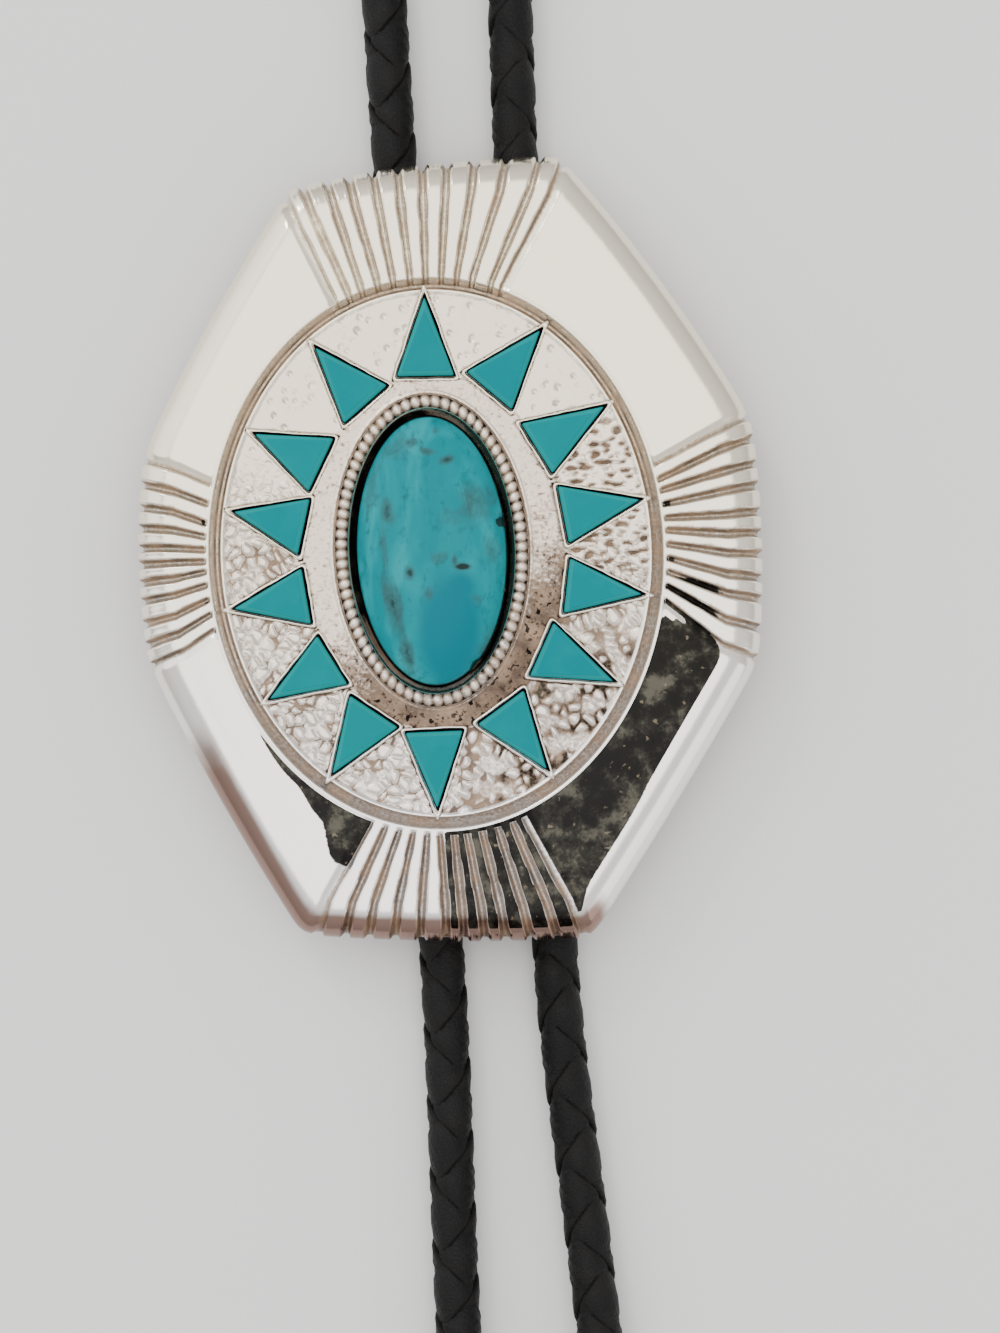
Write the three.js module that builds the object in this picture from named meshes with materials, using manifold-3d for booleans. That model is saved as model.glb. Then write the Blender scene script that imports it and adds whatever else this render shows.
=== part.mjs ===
import * as THREE from 'three';
import { mergeVertices } from 'three/addons/utils/BufferGeometryUtils.js';
import Module from 'manifold-3d';

// Millimetres, +Z up from the surface the tie lies on, +Y up the tie towards the neck loop.
// The origin is on the surface below the middle of the slide.

// Slide outline
const slideHalfWidth = 31.4;
const slideHalfLength = 39.8;
const cornerSharpness = 90;

// Heights in the slide
const rimBottom = 5.8;
const slideThickness = 5.0;
const skinThickness = 2.3;
const face = rimBottom + slideThickness;
const back = face - skinThickness;

// Rounded outer edge and hollow back
const panelFall = 0.35;
const rollWidth = 3.5;
const rollDrop = 2.8;
const rimWidth = 2.2;
const rimSlope = 0.6;

// Medallion in the middle of the slide, and the bezel a little to its left
const medallion = { x: -1.4, y: -0.4 };
const bezelShift = { x: -0.45, y: 0.2 };
const channelHalfWidth = 22.8;
const channelHalfLength = 27.7;
const channelWidth = 1.3;
const channelSlope = 0.3;
const channelDepth = 0.7;
const fieldDrop = 0.45;
const fieldRelief = 0.3;
const ringHalfWidth = 13.1;
const ringHalfLength = 17.8;
const ringDrop = 0.15;

// Fluted fans
const grooveWidth = 0.95;
const grooveDepth = 0.5;
const grooveOvercut = 0.4;

// Cabochon, its seat and the beaded bezel round it
const cabochonHalfWidth = 7.5;
const cabochonHalfLength = 13.5;
const cabochonEdge = 0.8;
const cabochonDome = 2.6;
const seatGap = 0.3;
const seatSlack = 0.4;
const seatDepth = 1.3;
const bezelFlare = 0.5;
const bezelWidth = 1.25;
const bezelHeight = 0.35;
const beadCount = 76;
const beadHalfLength = 0.48;
const beadHalfWidth = 0.58;
const beadHalfHeight = 0.5;

// Triangular stones and their raised cells
const stoneBase = 5.9;
const stoneReach = 7.9;
const stoneTipFlat = 0.35;
const stoneCornerFlat = 0.4;
const stoneAbove = 0.3;
const stoneBelow = 1.05;
const stoneBevel = 0.55;
const stoneBevelDrop = 0.4;
const cellWall = 0.45;
const cellDrop = 0.05;

// Braided cord, the clip that holds it behind the slide, and its two tips
const cordDiameter = 4.75;
const cordGap = 0.3;
const cordLift = 0.16;
const cordSides = 10;
const cordSteps = 66;
const clipWall = 1.0;
const clipLength = 24;
const clipOverhang = 1.5;
const runnerWidth = 4.4;
const tunnelLeft = -3.4;
const tunnelRight = 8.8;
const tipWall = 0.5;
const tipLength = 34;
const tipGrip = 12;
const tipNose = 5;

const cordRadius = cordDiameter / 2;
const tunnelRadius = cordRadius + cordGap;
const tunnelOuter = tunnelRadius + clipWall;
const tipRadius = tunnelRadius + tipWall;

// Mesh fineness
const columns = 120;

// Corners of the outline, clockwise from the top left, as shares of the half width and length.
// bulge is how far the edge after the corner swells, as a share of the half width.
const corners = [
  { across: -0.47, along: 0.937, bulge: 0.024 },
  { across: 0.41, along: 0.988, bulge: 0.026 },
  { across: 0.981, along: 0.31, bulge: 0.024 },
  { across: 0.968, along: -0.325, bulge: 0.008 },
  { across: 0.4, along: -0.992, bulge: 0.016 },
  { across: -0.53, along: -0.952, bulge: 0.014 },
  { across: -0.981, along: -0.26, bulge: 0.024 },
  { across: -0.968, along: 0.29, bulge: 0.018 },
];

// Fans of grooves. from and to are clock angles in degrees about the medallion, at the channel
// (inner) and at the outline (outer). Each share places one groove between them.
const fans = [
  {
    innerFrom: -19.6, innerTo: 16.5, outerFrom: -20.4, outerTo: 20.2,
    inner: [0, 0.09, 0.17, 0.27, 0.36, 0.46, 0.55, 0.64, 0.73, 0.82, 0.93, 1],
    outer: [0, 0.07, 0.16, 0.24, 0.33, 0.42, 0.51, 0.6, 0.7, 0.81, 0.92, 1],
  },
  {
    innerFrom: 70.2, innerTo: 104.6, outerFrom: 68.7, outerTo: 110.6,
    inner: [0, 0.12, 0.2, 0.3, 0.4, 0.49, 0.59, 0.69, 0.79, 0.89, 1],
    outer: [0, 0.09, 0.19, 0.28, 0.39, 0.48, 0.57, 0.67, 0.76, 0.88, 1],
  },
  {
    innerFrom: 164.2, innerTo: 196, outerFrom: 161.5, outerTo: 199.7,
    inner: [0, 0.08, 0.18, 0.28, 0.38, 0.46, 0.55, 0.63, 0.72, 0.81, 0.9, 1],
    outer: [0, 0.09, 0.19, 0.28, 0.36, 0.44, 0.51, 0.61, 0.71, 0.81, 0.9, 1],
  },
  {
    innerFrom: 252.9, innerTo: 289.6, outerFrom: 250.9, outerTo: 290.4,
    inner: [0, 0.11, 0.21, 0.31, 0.4, 0.47, 0.55, 0.64, 0.73, 0.86, 1],
    outer: [0, 0.1, 0.2, 0.31, 0.4, 0.49, 0.57, 0.67, 0.77, 0.88, 1],
  },
];

// Triangular stones, clockwise from the top. station is the clock angle of the middle of the
// base on the flat ring, out its share of the ring's size, aim the clock angle of the point,
// base and reach the shares of the stone's base and height.
const stones = [
  { name: 'stone_01', station: -1.4, out: 1.0, aim: 1.5, base: 0.98, reach: 1.01 },
  { name: 'stone_02', station: 27, out: 1.01, aim: 42.5, base: 1.0, reach: 1.01 },
  { name: 'stone_03', station: 55, out: 0.98, aim: 60.5, base: 1.0, reach: 1.01 },
  { name: 'stone_04', station: 79.5, out: 1.0, aim: 81.5, base: 0.99, reach: 0.99 },
  { name: 'stone_05', station: 102.5, out: 1.01, aim: 99, base: 0.94, reach: 0.96 },
  { name: 'stone_06', station: 126.5, out: 0.96, aim: 116.5, base: 1.0, reach: 1.0 },
  { name: 'stone_07', station: 153.5, out: 0.99, aim: 146, base: 0.97, reach: 0.98 },
  { name: 'stone_08', station: 184.3, out: 1.01, aim: 180, base: 0.98, reach: 0.97 },
  { name: 'stone_09', station: 211, out: 1.025, aim: 216, base: 0.98, reach: 0.95 },
  { name: 'stone_10', station: 235, out: 1.01, aim: 240.5, base: 0.97, reach: 0.94 },
  { name: 'stone_11', station: 258, out: 1.03, aim: 262.5, base: 0.96, reach: 0.93 },
  { name: 'stone_12', station: 280, out: 1.02, aim: 284.5, base: 0.97, reach: 0.91 },
  { name: 'stone_13', station: 301.5, out: 1.0, aim: 297.5, base: 1.0, reach: 0.93 },
  { name: 'stone_14', station: 330, out: 0.985, aim: 321, base: 0.98, reach: 0.97 },
];

// Route of the cord's middle from the left tip, through the clip, round the neck and back.
const clipHalf = clipLength / 2;
const lying = cordRadius + cordLift;
const held = tunnelOuter;
const cordRoute = [
  [-2.6, -97, tipRadius],
  [-2.6, -85, tipRadius],
  [-2.65, -72, lying],
  [-2.6, -46, lying],
  [-3.2, -24, lying],
  [tunnelLeft, -clipHalf - 1, held],
  [tunnelLeft, 0, held],
  [tunnelLeft, clipHalf + 1, held],
  [-3.8, 24, lying],
  [-4.2, 46, lying],
  [-5.2, 66, lying],
  [-11, 88, lying],
  [-19.5, 112, lying],
  [-25.5, 138, lying],
  [-26.5, 163, lying],
  [-18.5, 182.5, lying],
  [0.9, 191, lying],
  [20.3, 182.5, lying],
  [28.3, 163, lying],
  [27.3, 138, lying],
  [21.5, 112, lying],
  [14, 88, lying],
  [9.2, 66, lying],
  [8.4, 46, lying],
  [8.6, 24, lying],
  [tunnelRight, clipHalf + 1, held],
  [tunnelRight, 0, held],
  [tunnelRight, -clipHalf - 1, held],
  [8.8, -24, lying],
  [9, -46, lying],
  [10.7, -68, lying],
  [12, -85, tipRadius],
  [12.9, -97, tipRadius],
];

const wasm = await Module();
wasm.setup();

const radians = (degrees) => (degrees * Math.PI) / 180;
const mix = (a, b, share) => a + (b - a) * share;

// Edges of the outline as lines seen from the medallion's centre.
const outlineEdges = corners.map((corner, index) => {
  const next = corners[(index + 1) % corners.length];
  const startX = corner.across * slideHalfWidth - medallion.x;
  const startY = corner.along * slideHalfLength - medallion.y;
  const endX = next.across * slideHalfWidth - medallion.x;
  const endY = next.along * slideHalfLength - medallion.y;
  const length = Math.hypot(endX - startX, endY - startY);
  const tangent = { x: (endX - startX) / length, y: (endY - startY) / length };
  const normal = { x: -tangent.y, y: tangent.x };
  const reach = startX * normal.x + startY * normal.y;
  const middle = { x: (startX + endX) / 2, y: (startY + endY) / 2 };
  return { tangent, normal, reach, middle, half: length / 2, swell: corner.bulge * slideHalfWidth };
});

// Distance from the medallion's centre to the outline along a clock angle in radians.
function outlineReach(angle, inset) {
  const x = Math.sin(angle);
  const y = Math.cos(angle);
  let sum = 0;
  for (const edge of outlineEdges) {
    const facing = x * edge.normal.x + y * edge.normal.y;
    if (facing < 0.1) continue;
    const straight = edge.reach / facing;
    const alongX = (straight * x - edge.middle.x) * edge.tangent.x;
    const alongY = (straight * y - edge.middle.y) * edge.tangent.y;
    const share = Math.min(1, Math.abs(alongX + alongY) / edge.half);
    const reach = (edge.reach + edge.swell * (1 - share * share) - inset) / facing;
    sum += reach ** -cornerSharpness;
  }
  return sum ** (-1 / cornerSharpness);
}

// Distance from an oval's centre to its edge along a clock angle in radians.
function ovalReach(angle, halfWidth, halfLength) {
  return 1 / Math.hypot(Math.sin(angle) / halfWidth, Math.cos(angle) / halfLength);
}

function fromMedallion(angle, reach, z) {
  return [medallion.x + reach * Math.sin(angle), medallion.y + reach * Math.cos(angle), z];
}

function toManifold(geometry) {
  const bare = geometry.clone();
  bare.deleteAttribute('normal');
  bare.deleteAttribute('uv');
  const merged = mergeVertices(bare, 1e-4);
  const vertProperties = Float32Array.from(merged.attributes.position.array);
  const triVerts = Uint32Array.from(merged.index.array);
  return new wasm.Manifold(new wasm.Mesh({ numProp: 3, vertProperties, triVerts }));
}

function toGeometry(manifold) {
  const mesh = manifold.getMesh();
  const geometry = new THREE.BufferGeometry();
  geometry.setAttribute('position', new THREE.BufferAttribute(Float32Array.from(mesh.vertProperties), 3));
  geometry.setIndex(Array.from(mesh.triVerts));
  return geometry;
}

// Closed solid through rings of points that run clockwise seen from above. The first ring is
// the top's innermost, the last the underside's, and both are filled to a point in the middle.
function ringSolid(rings, topCentre, bottomCentre) {
  const count = rings[0].length;
  const positions = [...rings.flat(), topCentre, bottomCentre].flat();
  const top = rings.length * count;
  const faces = [];
  for (let j = 0; j < count; j += 1) {
    const k = (j + 1) % count;
    faces.push(top, k, j);
    for (let i = 0; i < rings.length - 1; i += 1) {
      const a = i * count;
      const b = a + count;
      faces.push(a + j, a + k, b + k, a + j, b + k, b + j);
    }
    const last = (rings.length - 1) * count;
    faces.push(top + 1, last + j, last + k);
  }
  const geometry = new THREE.BufferGeometry();
  geometry.setAttribute('position', new THREE.BufferAttribute(new Float32Array(positions), 3));
  geometry.setIndex(faces);
  return geometry;
}

// Closed solid through equal polygons, stacked along a path and capped flat at both ends.
function stackSolid(polygons) {
  const middle = (polygon) => [0, 1, 2].map((axis) => (
    polygon.reduce((sum, point) => sum + point[axis], 0) / polygon.length
  ));
  return ringSolid(polygons, middle(polygons[0]), middle(polygons[polygons.length - 1]));
}

// Rounded outer edge: turn 0 is where it leaves the panel, 90 degrees is the side wall.
function rollAt(turn) {
  return {
    inset: rollWidth * (1 - Math.sin(turn)),
    z: face - panelFall - rollDrop * (1 - Math.cos(turn)),
  };
}

// Uneven height of the hammered field.
function hammered(column, row) {
  const wave = Math.sin(column * 12.9898 + row * 78.233) * 43758.5453;
  return face - fieldDrop - fieldRelief * (wave - Math.floor(wave)) * 0.5;
}

function buildSlideBody() {
  const angles = Array.from({ length: columns }, (_, j) => (j / columns) * 2 * Math.PI);
  const oval = (halfWidth, halfLength, z, shift = { x: 0, y: 0 }) => angles.map((angle) => [
    medallion.x + shift.x + halfWidth * Math.sin(angle),
    medallion.y + shift.y + halfLength * Math.cos(angle),
    z,
  ]);
  const clock = angles.map((angle) => (
    Math.atan2(channelHalfWidth * Math.sin(angle), channelHalfLength * Math.cos(angle))
  ));
  const rim = (inset, z) => clock.map((angle) => (
    fromMedallion(angle, outlineReach(angle, inset), z)
  ));
  const panel = (share, z) => clock.map((angle) => {
    const inner = ovalReach(angle, channelHalfWidth, channelHalfLength);
    return fromMedallion(angle, mix(inner, outlineReach(angle, rollWidth), share), z);
  });
  const seatX = cabochonHalfWidth + seatSlack;
  const seatY = cabochonHalfLength + seatSlack;
  const bezelInX = seatX + bezelFlare;
  const bezelInY = seatY + bezelFlare;
  const bezelOutX = bezelInX + bezelWidth;
  const bezelOutY = bezelInY + bezelWidth;
  const fieldX = channelHalfWidth - channelWidth;
  const fieldY = channelHalfLength - channelWidth;
  const bezelTop = face - ringDrop + bezelHeight;
  const field = [0.2, 0.4, 0.6, 0.8].map((share, row) => (
    oval(mix(ringHalfWidth, fieldX, share), mix(ringHalfLength, fieldY, share), 0)
      .map(([x, y], column) => [x, y, hammered(column, row)])
  ));
  const roll = [0, 30, 60, 90].map((turn) => rollAt(radians(turn)));
  return ringSolid([
    oval(seatX, seatY, face - seatDepth, bezelShift),
    oval(bezelInX, bezelInY, bezelTop, bezelShift),
    oval(bezelOutX, bezelOutY, bezelTop, bezelShift),
    oval(bezelOutX + 0.15, bezelOutY + 0.15, face - ringDrop, bezelShift),
    oval(ringHalfWidth, ringHalfLength, face - ringDrop),
    ...field,
    oval(fieldX, fieldY, face - cellDrop),
    oval(fieldX + channelSlope, fieldY + channelSlope, face - channelDepth),
    oval(channelHalfWidth - channelSlope, channelHalfLength - channelSlope, face - channelDepth),
    oval(channelHalfWidth, channelHalfLength, face),
    panel(0.5, face - panelFall * 0.3),
    ...roll.map(({ inset, z }) => rim(inset, z)),
    rim(0, rimBottom),
    rim(rimWidth, rimBottom),
    rim(rimWidth + rimSlope, back),
  ], [medallion.x, medallion.y, face - seatDepth], [medallion.x, medallion.y, back]);
}

// One groove: a wedge that follows the panel, the rounded edge and the side wall.
function grooveCutter(innerAngle, outerAngle) {
  const start = fromMedallion(
    innerAngle,
    ovalReach(innerAngle, channelHalfWidth, channelHalfLength) - channelSlope,
    face,
  );
  const stations = [{ point: start, out: 0, up: 1 }];
  for (const turn of [0, 30, 60, 90]) {
    const { inset, z } = rollAt(radians(turn));
    const point = fromMedallion(outerAngle, outlineReach(outerAngle, inset), z);
    stations.push({ point, out: Math.sin(radians(turn)), up: Math.cos(radians(turn)) });
  }
  const foot = fromMedallion(outerAngle, outlineReach(outerAngle, 0), rimBottom - 1);
  stations.push({ point: foot, out: 1, up: 0 });
  const rim = stations[4].point;
  const length = Math.hypot(rim[0] - start[0], rim[1] - start[1]);
  const runX = (rim[0] - start[0]) / length;
  const runY = (rim[1] - start[1]) / length;
  const spread = (grooveWidth / 2) * ((grooveDepth + grooveOvercut) / grooveDepth);
  const shifted = ({ point, out, up }, lift, side) => [
    point[0] + runX * out * lift + runY * side,
    point[1] + runY * out * lift - runX * side,
    point[2] + up * lift,
  ];
  return stackSolid(stations.map((station) => [
    shifted(station, -grooveDepth, 0),
    shifted(station, grooveOvercut, -spread),
    shifted(station, grooveOvercut, spread),
  ]));
}

function buildGrooves() {
  return fans.flatMap((fan) => fan.inner.map((share, index) => toManifold(grooveCutter(
    radians(mix(fan.innerFrom, fan.innerTo, share)),
    radians(mix(fan.outerFrom, fan.outerTo, fan.outer[index])),
  ))));
}

// Outline of a triangular stone grown by an amount, clockwise seen from above.
function stoneOutline({ station, out, aim, base, reach }, grow) {
  const middleX = medallion.x + ringHalfWidth * out * Math.sin(radians(station));
  const middleY = medallion.y + ringHalfLength * out * Math.cos(radians(station));
  const point = { x: Math.sin(radians(aim)), y: Math.cos(radians(aim)) };
  const halfBase = (stoneBase * base) / 2;
  const height = stoneReach * reach;
  const slope = Math.hypot(halfBase, height);
  const side = (grow * slope) / height;
  const halfAt = (up) => halfBase * (1 - up / height) + side;
  const cutTip = height + grow - (stoneTipFlat * height) / (2 * halfBase);
  const flatTip = height * (1 - (stoneTipFlat / 2 - side) / halfBase);
  const top = Math.min(cutTip, flatTip);
  const low = -grow;
  const cut = stoneCornerFlat;
  return [
    [-halfAt(top), top],
    [halfAt(top), top],
    [halfAt(low + cut), low + cut],
    [halfAt(low) - cut, low],
    [-halfAt(low) + cut, low],
    [-halfAt(low + cut), low + cut],
  ].map(([across, up]) => [
    middleX + point.x * up + point.y * across,
    middleY + point.y * up - point.x * across,
  ]);
}

function stonePrism(stone, grow, top, bottom) {
  const outline = stoneOutline(stone, grow);
  return stackSolid([top, bottom].map((z) => outline.map(([x, y]) => [x, y, z])));
}

function buildStone(stone) {
  const table = face + stoneAbove;
  const layers = [
    { grow: -stoneBevel, z: table },
    { grow: 0, z: table - stoneBevelDrop },
    { grow: 0, z: face - stoneBelow },
  ];
  return stackSolid(layers.map(({ grow, z }) => (
    stoneOutline(stone, grow).map(([x, y]) => [x, y, z])
  )));
}

// Points at equal steps round an oval, each with its outward direction.
function ovalWalk(halfWidth, halfLength, count) {
  const fine = 2000;
  const at = (step) => {
    const angle = (step / fine) * 2 * Math.PI;
    return [halfWidth * Math.sin(angle), halfLength * Math.cos(angle), angle];
  };
  const lengths = [0];
  for (let step = 1; step <= fine; step += 1) {
    const [x, y] = at(step);
    const [lastX, lastY] = at(step - 1);
    lengths.push(lengths[step - 1] + Math.hypot(x - lastX, y - lastY));
  }
  return Array.from({ length: count }, (_, index) => {
    const goal = (lengths[fine] * index) / count;
    const [x, y, angle] = at(lengths.findIndex((length) => length >= goal));
    const heading = Math.atan2(halfLength * Math.sin(angle), halfWidth * Math.cos(angle));
    return { x, y, heading };
  });
}

function buildBeads() {
  const lineX = cabochonHalfWidth + seatSlack + bezelFlare + bezelWidth / 2;
  const lineY = cabochonHalfLength + seatSlack + bezelFlare + bezelWidth / 2;
  return ovalWalk(lineX, lineY, beadCount).map(({ x, y, heading }) => {
    const bead = new THREE.SphereGeometry(1, 6, 4);
    bead.rotateX(Math.PI / 2);
    bead.scale(beadHalfLength, beadHalfWidth, beadHalfHeight);
    bead.rotateZ(-heading);
    bead.translate(
      medallion.x + bezelShift.x + x,
      medallion.y + bezelShift.y + y,
      face - ringDrop + bezelHeight,
    );
    return toManifold(bead);
  });
}

function buildSlidePlate() {
  const cells = stones.map((stone) => toManifold(
    stonePrism(stone, seatGap + cellWall, face - cellDrop, face - fieldDrop - 1),
  ));
  const seats = stones.map((stone) => toManifold(
    stonePrism(stone, seatGap, face + 1, face - stoneBelow - seatGap),
  ));
  const body = toManifold(buildSlideBody());
  const raised = wasm.Manifold.union([body, ...cells, ...buildBeads()]);
  const cutters = wasm.Manifold.union([...seats, ...buildGrooves()]);
  return toGeometry(raised.subtract(cutters));
}

function buildCabochon() {
  const seatFloor = face - seatDepth + seatGap;
  const layers = [
    { share: 0.35, z: 0.96 },
    { share: 0.65, z: 0.79 },
    { share: 0.86, z: 0.52 },
    { share: 0.965, z: 0.25 },
    { share: 1, z: 0 },
  ];
  const count = 40;
  const ring = (share, z) => Array.from({ length: count }, (_, index) => {
    const angle = (index / count) * 2 * Math.PI;
    return [
      medallion.x + bezelShift.x + cabochonHalfWidth * share * Math.sin(angle),
      medallion.y + bezelShift.y + cabochonHalfLength * share * Math.cos(angle),
      z,
    ];
  });
  const edge = seatFloor + cabochonEdge;
  const centre = [medallion.x + bezelShift.x, medallion.y + bezelShift.y];
  return ringSolid(
    [...layers.map(({ share, z }) => ring(share, edge + z * cabochonDome)), ring(1, seatFloor)],
    [...centre, edge + cabochonDome],
    [...centre, seatFloor],
  );
}

function boxSolid(width, length, height, x, y, z) {
  return toManifold(new THREE.BoxGeometry(width, length, height).translate(x, y, z));
}

function barAlongY(radius, length, x, z) {
  return toManifold(new THREE.CylinderGeometry(radius, radius, length, 24).translate(x, 0, z));
}

function buildClip() {
  const clipTop = back - seatGap;
  const plateWidth = tunnelRight - tunnelLeft + 2 * tunnelRadius + 2 * clipOverhang;
  const plateX = (tunnelLeft + tunnelRight) / 2;
  const solids = [boxSolid(plateWidth, clipLength, clipWall, plateX, 0, clipTop - clipWall / 2)];
  const bores = [];
  for (const x of [tunnelLeft, tunnelRight]) {
    solids.push(barAlongY(tunnelOuter, clipLength, x, held));
    solids.push(boxSolid(runnerWidth, clipLength, clipWall, x, 0, clipWall / 2));
    bores.push(barAlongY(tunnelRadius, clipLength + 2, x, held));
  }
  return toGeometry(wasm.Manifold.union(solids).subtract(wasm.Manifold.union(bores)));
}

const route = new THREE.CatmullRomCurve3(
  cordRoute.map(([x, y, z]) => new THREE.Vector3(x, y, z)),
  false,
  'centripetal',
);

function buildCord() {
  const section = new THREE.Shape(Array.from({ length: cordSides }, (_, index) => {
    const angle = ((index + 0.5) / cordSides) * 2 * Math.PI;
    return new THREE.Vector2(cordRadius * Math.cos(angle), cordRadius * Math.sin(angle));
  }));
  const settings = { steps: cordSteps, bevelEnabled: false, extrudePath: route };
  return new THREE.ExtrudeGeometry(section, settings);
}

function buildTip(end, inward) {
  const depth = tipGrip + cordGap;
  const profile = [
    [0, tipGrip - depth],
    [tunnelRadius, tipGrip - depth],
    [tunnelRadius, tipGrip],
    [tipRadius, tipGrip],
    [tipRadius, tipGrip - tipLength + tipNose],
    [tipRadius * 0.86, tipGrip - tipLength + tipNose * 0.42],
    [tipRadius * 0.5, tipGrip - tipLength + tipNose * 0.08],
    [0, tipGrip - tipLength],
  ].map(([x, y]) => new THREE.Vector2(x, y));
  const geometry = new THREE.LatheGeometry(profile.reverse(), 20);
  const heading = Math.atan2(inward.x - end.x, inward.y - end.y);
  geometry.rotateZ(-heading);
  geometry.translate(end.x, end.y, end.z);
  return geometry;
}

const castMetal = { color: '#cfc8b8', roughness: 0.3, metalness: 1 };
const turquoise = { color: '#149a9c', roughness: 0.35, metalness: 0 };
const springSteel = { color: '#b9b7b2', roughness: 0.35, metalness: 1 };
const blackLeather = { color: '#17171a', roughness: 0.6, metalness: 0 };
const tipMetal = { color: '#c9c4ba', roughness: 0.3, metalness: 1 };

function solid(name, geometry, look) {
  const mesh = new THREE.Mesh(geometry, new THREE.MeshStandardMaterial(look));
  mesh.name = name;
  return mesh;
}

const tie = new THREE.Group();
tie.name = 'bolo_tie';
const firstEnd = route.points[0];
const lastEnd = route.points[route.points.length - 1];
tie.add(solid('slide_plate', buildSlidePlate(), castMetal));
tie.add(solid('cabochon', buildCabochon(), turquoise));
for (const stone of stones) {
  tie.add(solid(stone.name, buildStone(stone), turquoise));
}
tie.add(solid('cord_clip', buildClip(), springSteel));
tie.add(solid('braided_cord', buildCord(), blackLeather));
tie.add(solid('tip_left', buildTip(firstEnd, route.points[1]), tipMetal));
tie.add(solid('tip_right', buildTip(lastEnd, route.points[route.points.length - 2]), tipMetal));

export default tie;
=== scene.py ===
import math

import bmesh
import bpy
from bpy.props import FloatProperty, FloatVectorProperty, IntProperty, PointerProperty
from mathutils import Matrix, Vector, noise


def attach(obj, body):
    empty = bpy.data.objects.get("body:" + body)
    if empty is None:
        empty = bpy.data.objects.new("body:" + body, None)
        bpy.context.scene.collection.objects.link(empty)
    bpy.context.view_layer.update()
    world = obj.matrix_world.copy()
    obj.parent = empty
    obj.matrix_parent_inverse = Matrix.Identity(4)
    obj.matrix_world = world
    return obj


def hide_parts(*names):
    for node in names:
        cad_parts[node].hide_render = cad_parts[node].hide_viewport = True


bl_info = {
    "name": "Bolo tie",
    "version": (1, 0, 0),
    "blender": (4, 5, 0),
    "location": "3D View > Sidebar > Bolo tie",
    "description": "Dresses a bolo tie: cast slide, stones, braided cord and tips",
    "category": "Object",
}

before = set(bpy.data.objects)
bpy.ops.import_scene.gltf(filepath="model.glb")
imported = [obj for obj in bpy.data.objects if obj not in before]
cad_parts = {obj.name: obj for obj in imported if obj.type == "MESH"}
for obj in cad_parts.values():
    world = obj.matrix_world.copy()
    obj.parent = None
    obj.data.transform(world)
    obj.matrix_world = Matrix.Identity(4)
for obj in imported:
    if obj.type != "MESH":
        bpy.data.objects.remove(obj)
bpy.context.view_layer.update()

# The noise starts from a fixed seed, so every run gives the same marks
NOISE_SEED = 4
noise.seed_set(NOISE_SEED)

# Sizes in millimetres, as in the solids. MM turns them into metres.
MM = 0.001

# The slide: heights above the floor, the rolled edge, the rim under it and the outline
FACE = 10.8
RIM_BOTTOM = 5.8
BACK = 8.5
PANEL_FALL = 0.35
PANEL_START = 0.5
ROLL_WIDTH = 3.5
ROLL_DROP = 2.8
RIM_WIDTH = 2.2
RIM_SLOPE = 0.6
HALF_WIDTH = 31.4
HALF_LENGTH = 39.8
CORNER_SHARPNESS = 90
FLUTE_CROWN = 0.15

# The medallion: its middle, and half widths and half lengths of its ovals
MEDALLION = (-1.4, -0.4)
BEZEL_SHIFT = (-0.45, 0.2)
SEAT_CENTRE = (MEDALLION[0] + BEZEL_SHIFT[0], MEDALLION[1] + BEZEL_SHIFT[1])
CHANNEL = (22.8, 27.7)
CHANNEL_WIDTH = 1.3
RING = (13.1, 17.8)
RING_TOP = FACE - 0.15
CABOCHON = (7.5, 13.5)
CABOCHON_EDGE = FACE - 0.2
CABOCHON_FOOT = FACE - 1.0
SEAT_SLACK = 0.4
BEZEL_FLARE = 0.5
BEZEL_WIDTH = 1.25
BEADS = 76
BEAD_RADIUS = 0.6
BEAD_RISE = 0.46
STONE_BASE = 5.9
STONE_REACH = 7.9
STONE_TABLE = FACE + 0.3
STONE_FOOT = FACE - 1.05
SEAT_GAP = 0.22
CELL_WALL = 0.32
CELL_FLOOR = FACE - 1.55

# The cord, its strands and its tips
CORD = 4.75
HELD = 3.675
LYING = CORD / 2 + 0.16
STRAND_MIDDLE = 1.58
STRAND_WEAVE = 0.29
STRAND_RISE = 0.5
TIP_RADIUS = 3.175
TIP_BORE = CORD / 2 + 0.3
TIP_GRIP = 12
TIP_NOSE = (-17, 5)

# Mesh steps: rows across the panels, degrees of a row on the rolled edge, columns for each bead,
# rows over the beads, the flat ring, the hammered field and the dome, columns of the cabochon and
# the tips, points for each stretch of the cord's route, and sections for each turn of a strand
PANEL_ROWS = 30
ROLL_STEP = 9
PER_BEAD = 12
BEAD_ROWS = 14
FLAT_ROWS = 11
FIELD_ROWS = 50
DOME_ROWS = 60
CABOCHON_COLUMNS = 220
TIP_COLUMNS = 48
NOSE_ROWS = 14
ROUTE_STEPS = 14
STRAND_STEPS = 26

# The photo's height and its focal length, both in its pixels. The camera's aim and distance are
# in millimetres, and it leans from straight above by CAMERA_LEAN.
PHOTO_HEIGHT = 1333
FOCAL_LENGTH = 3892
FILM_HEIGHT = 36
CAMERA_AIM = (4.48, -12.11, FACE)
CAMERA_AWAY = 389.2
CAMERA_LEAN = math.radians(2.5)
CAMERA_RIGHT = (0.999, -0.0436, 0.0)

# Name, place and size in metres, power in watts and colour of each light
LIGHTS = (
    ("overhead", (-0.02, 0.08, 0.85), 0.95, 3.6, (1.0, 0.975, 0.93)),
    ("window", (-0.75, 0.42, 0.42), 1.1, 3.4, (0.985, 0.99, 1.0)),
    ("card", (0.75, -0.55, 0.35), 0.7, 1.3, (1.0, 0.99, 0.985)),
    ("spark", (-0.30, 0.55, 0.60), 0.14, 0.9, (1.0, 0.99, 0.97)),
)

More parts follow.
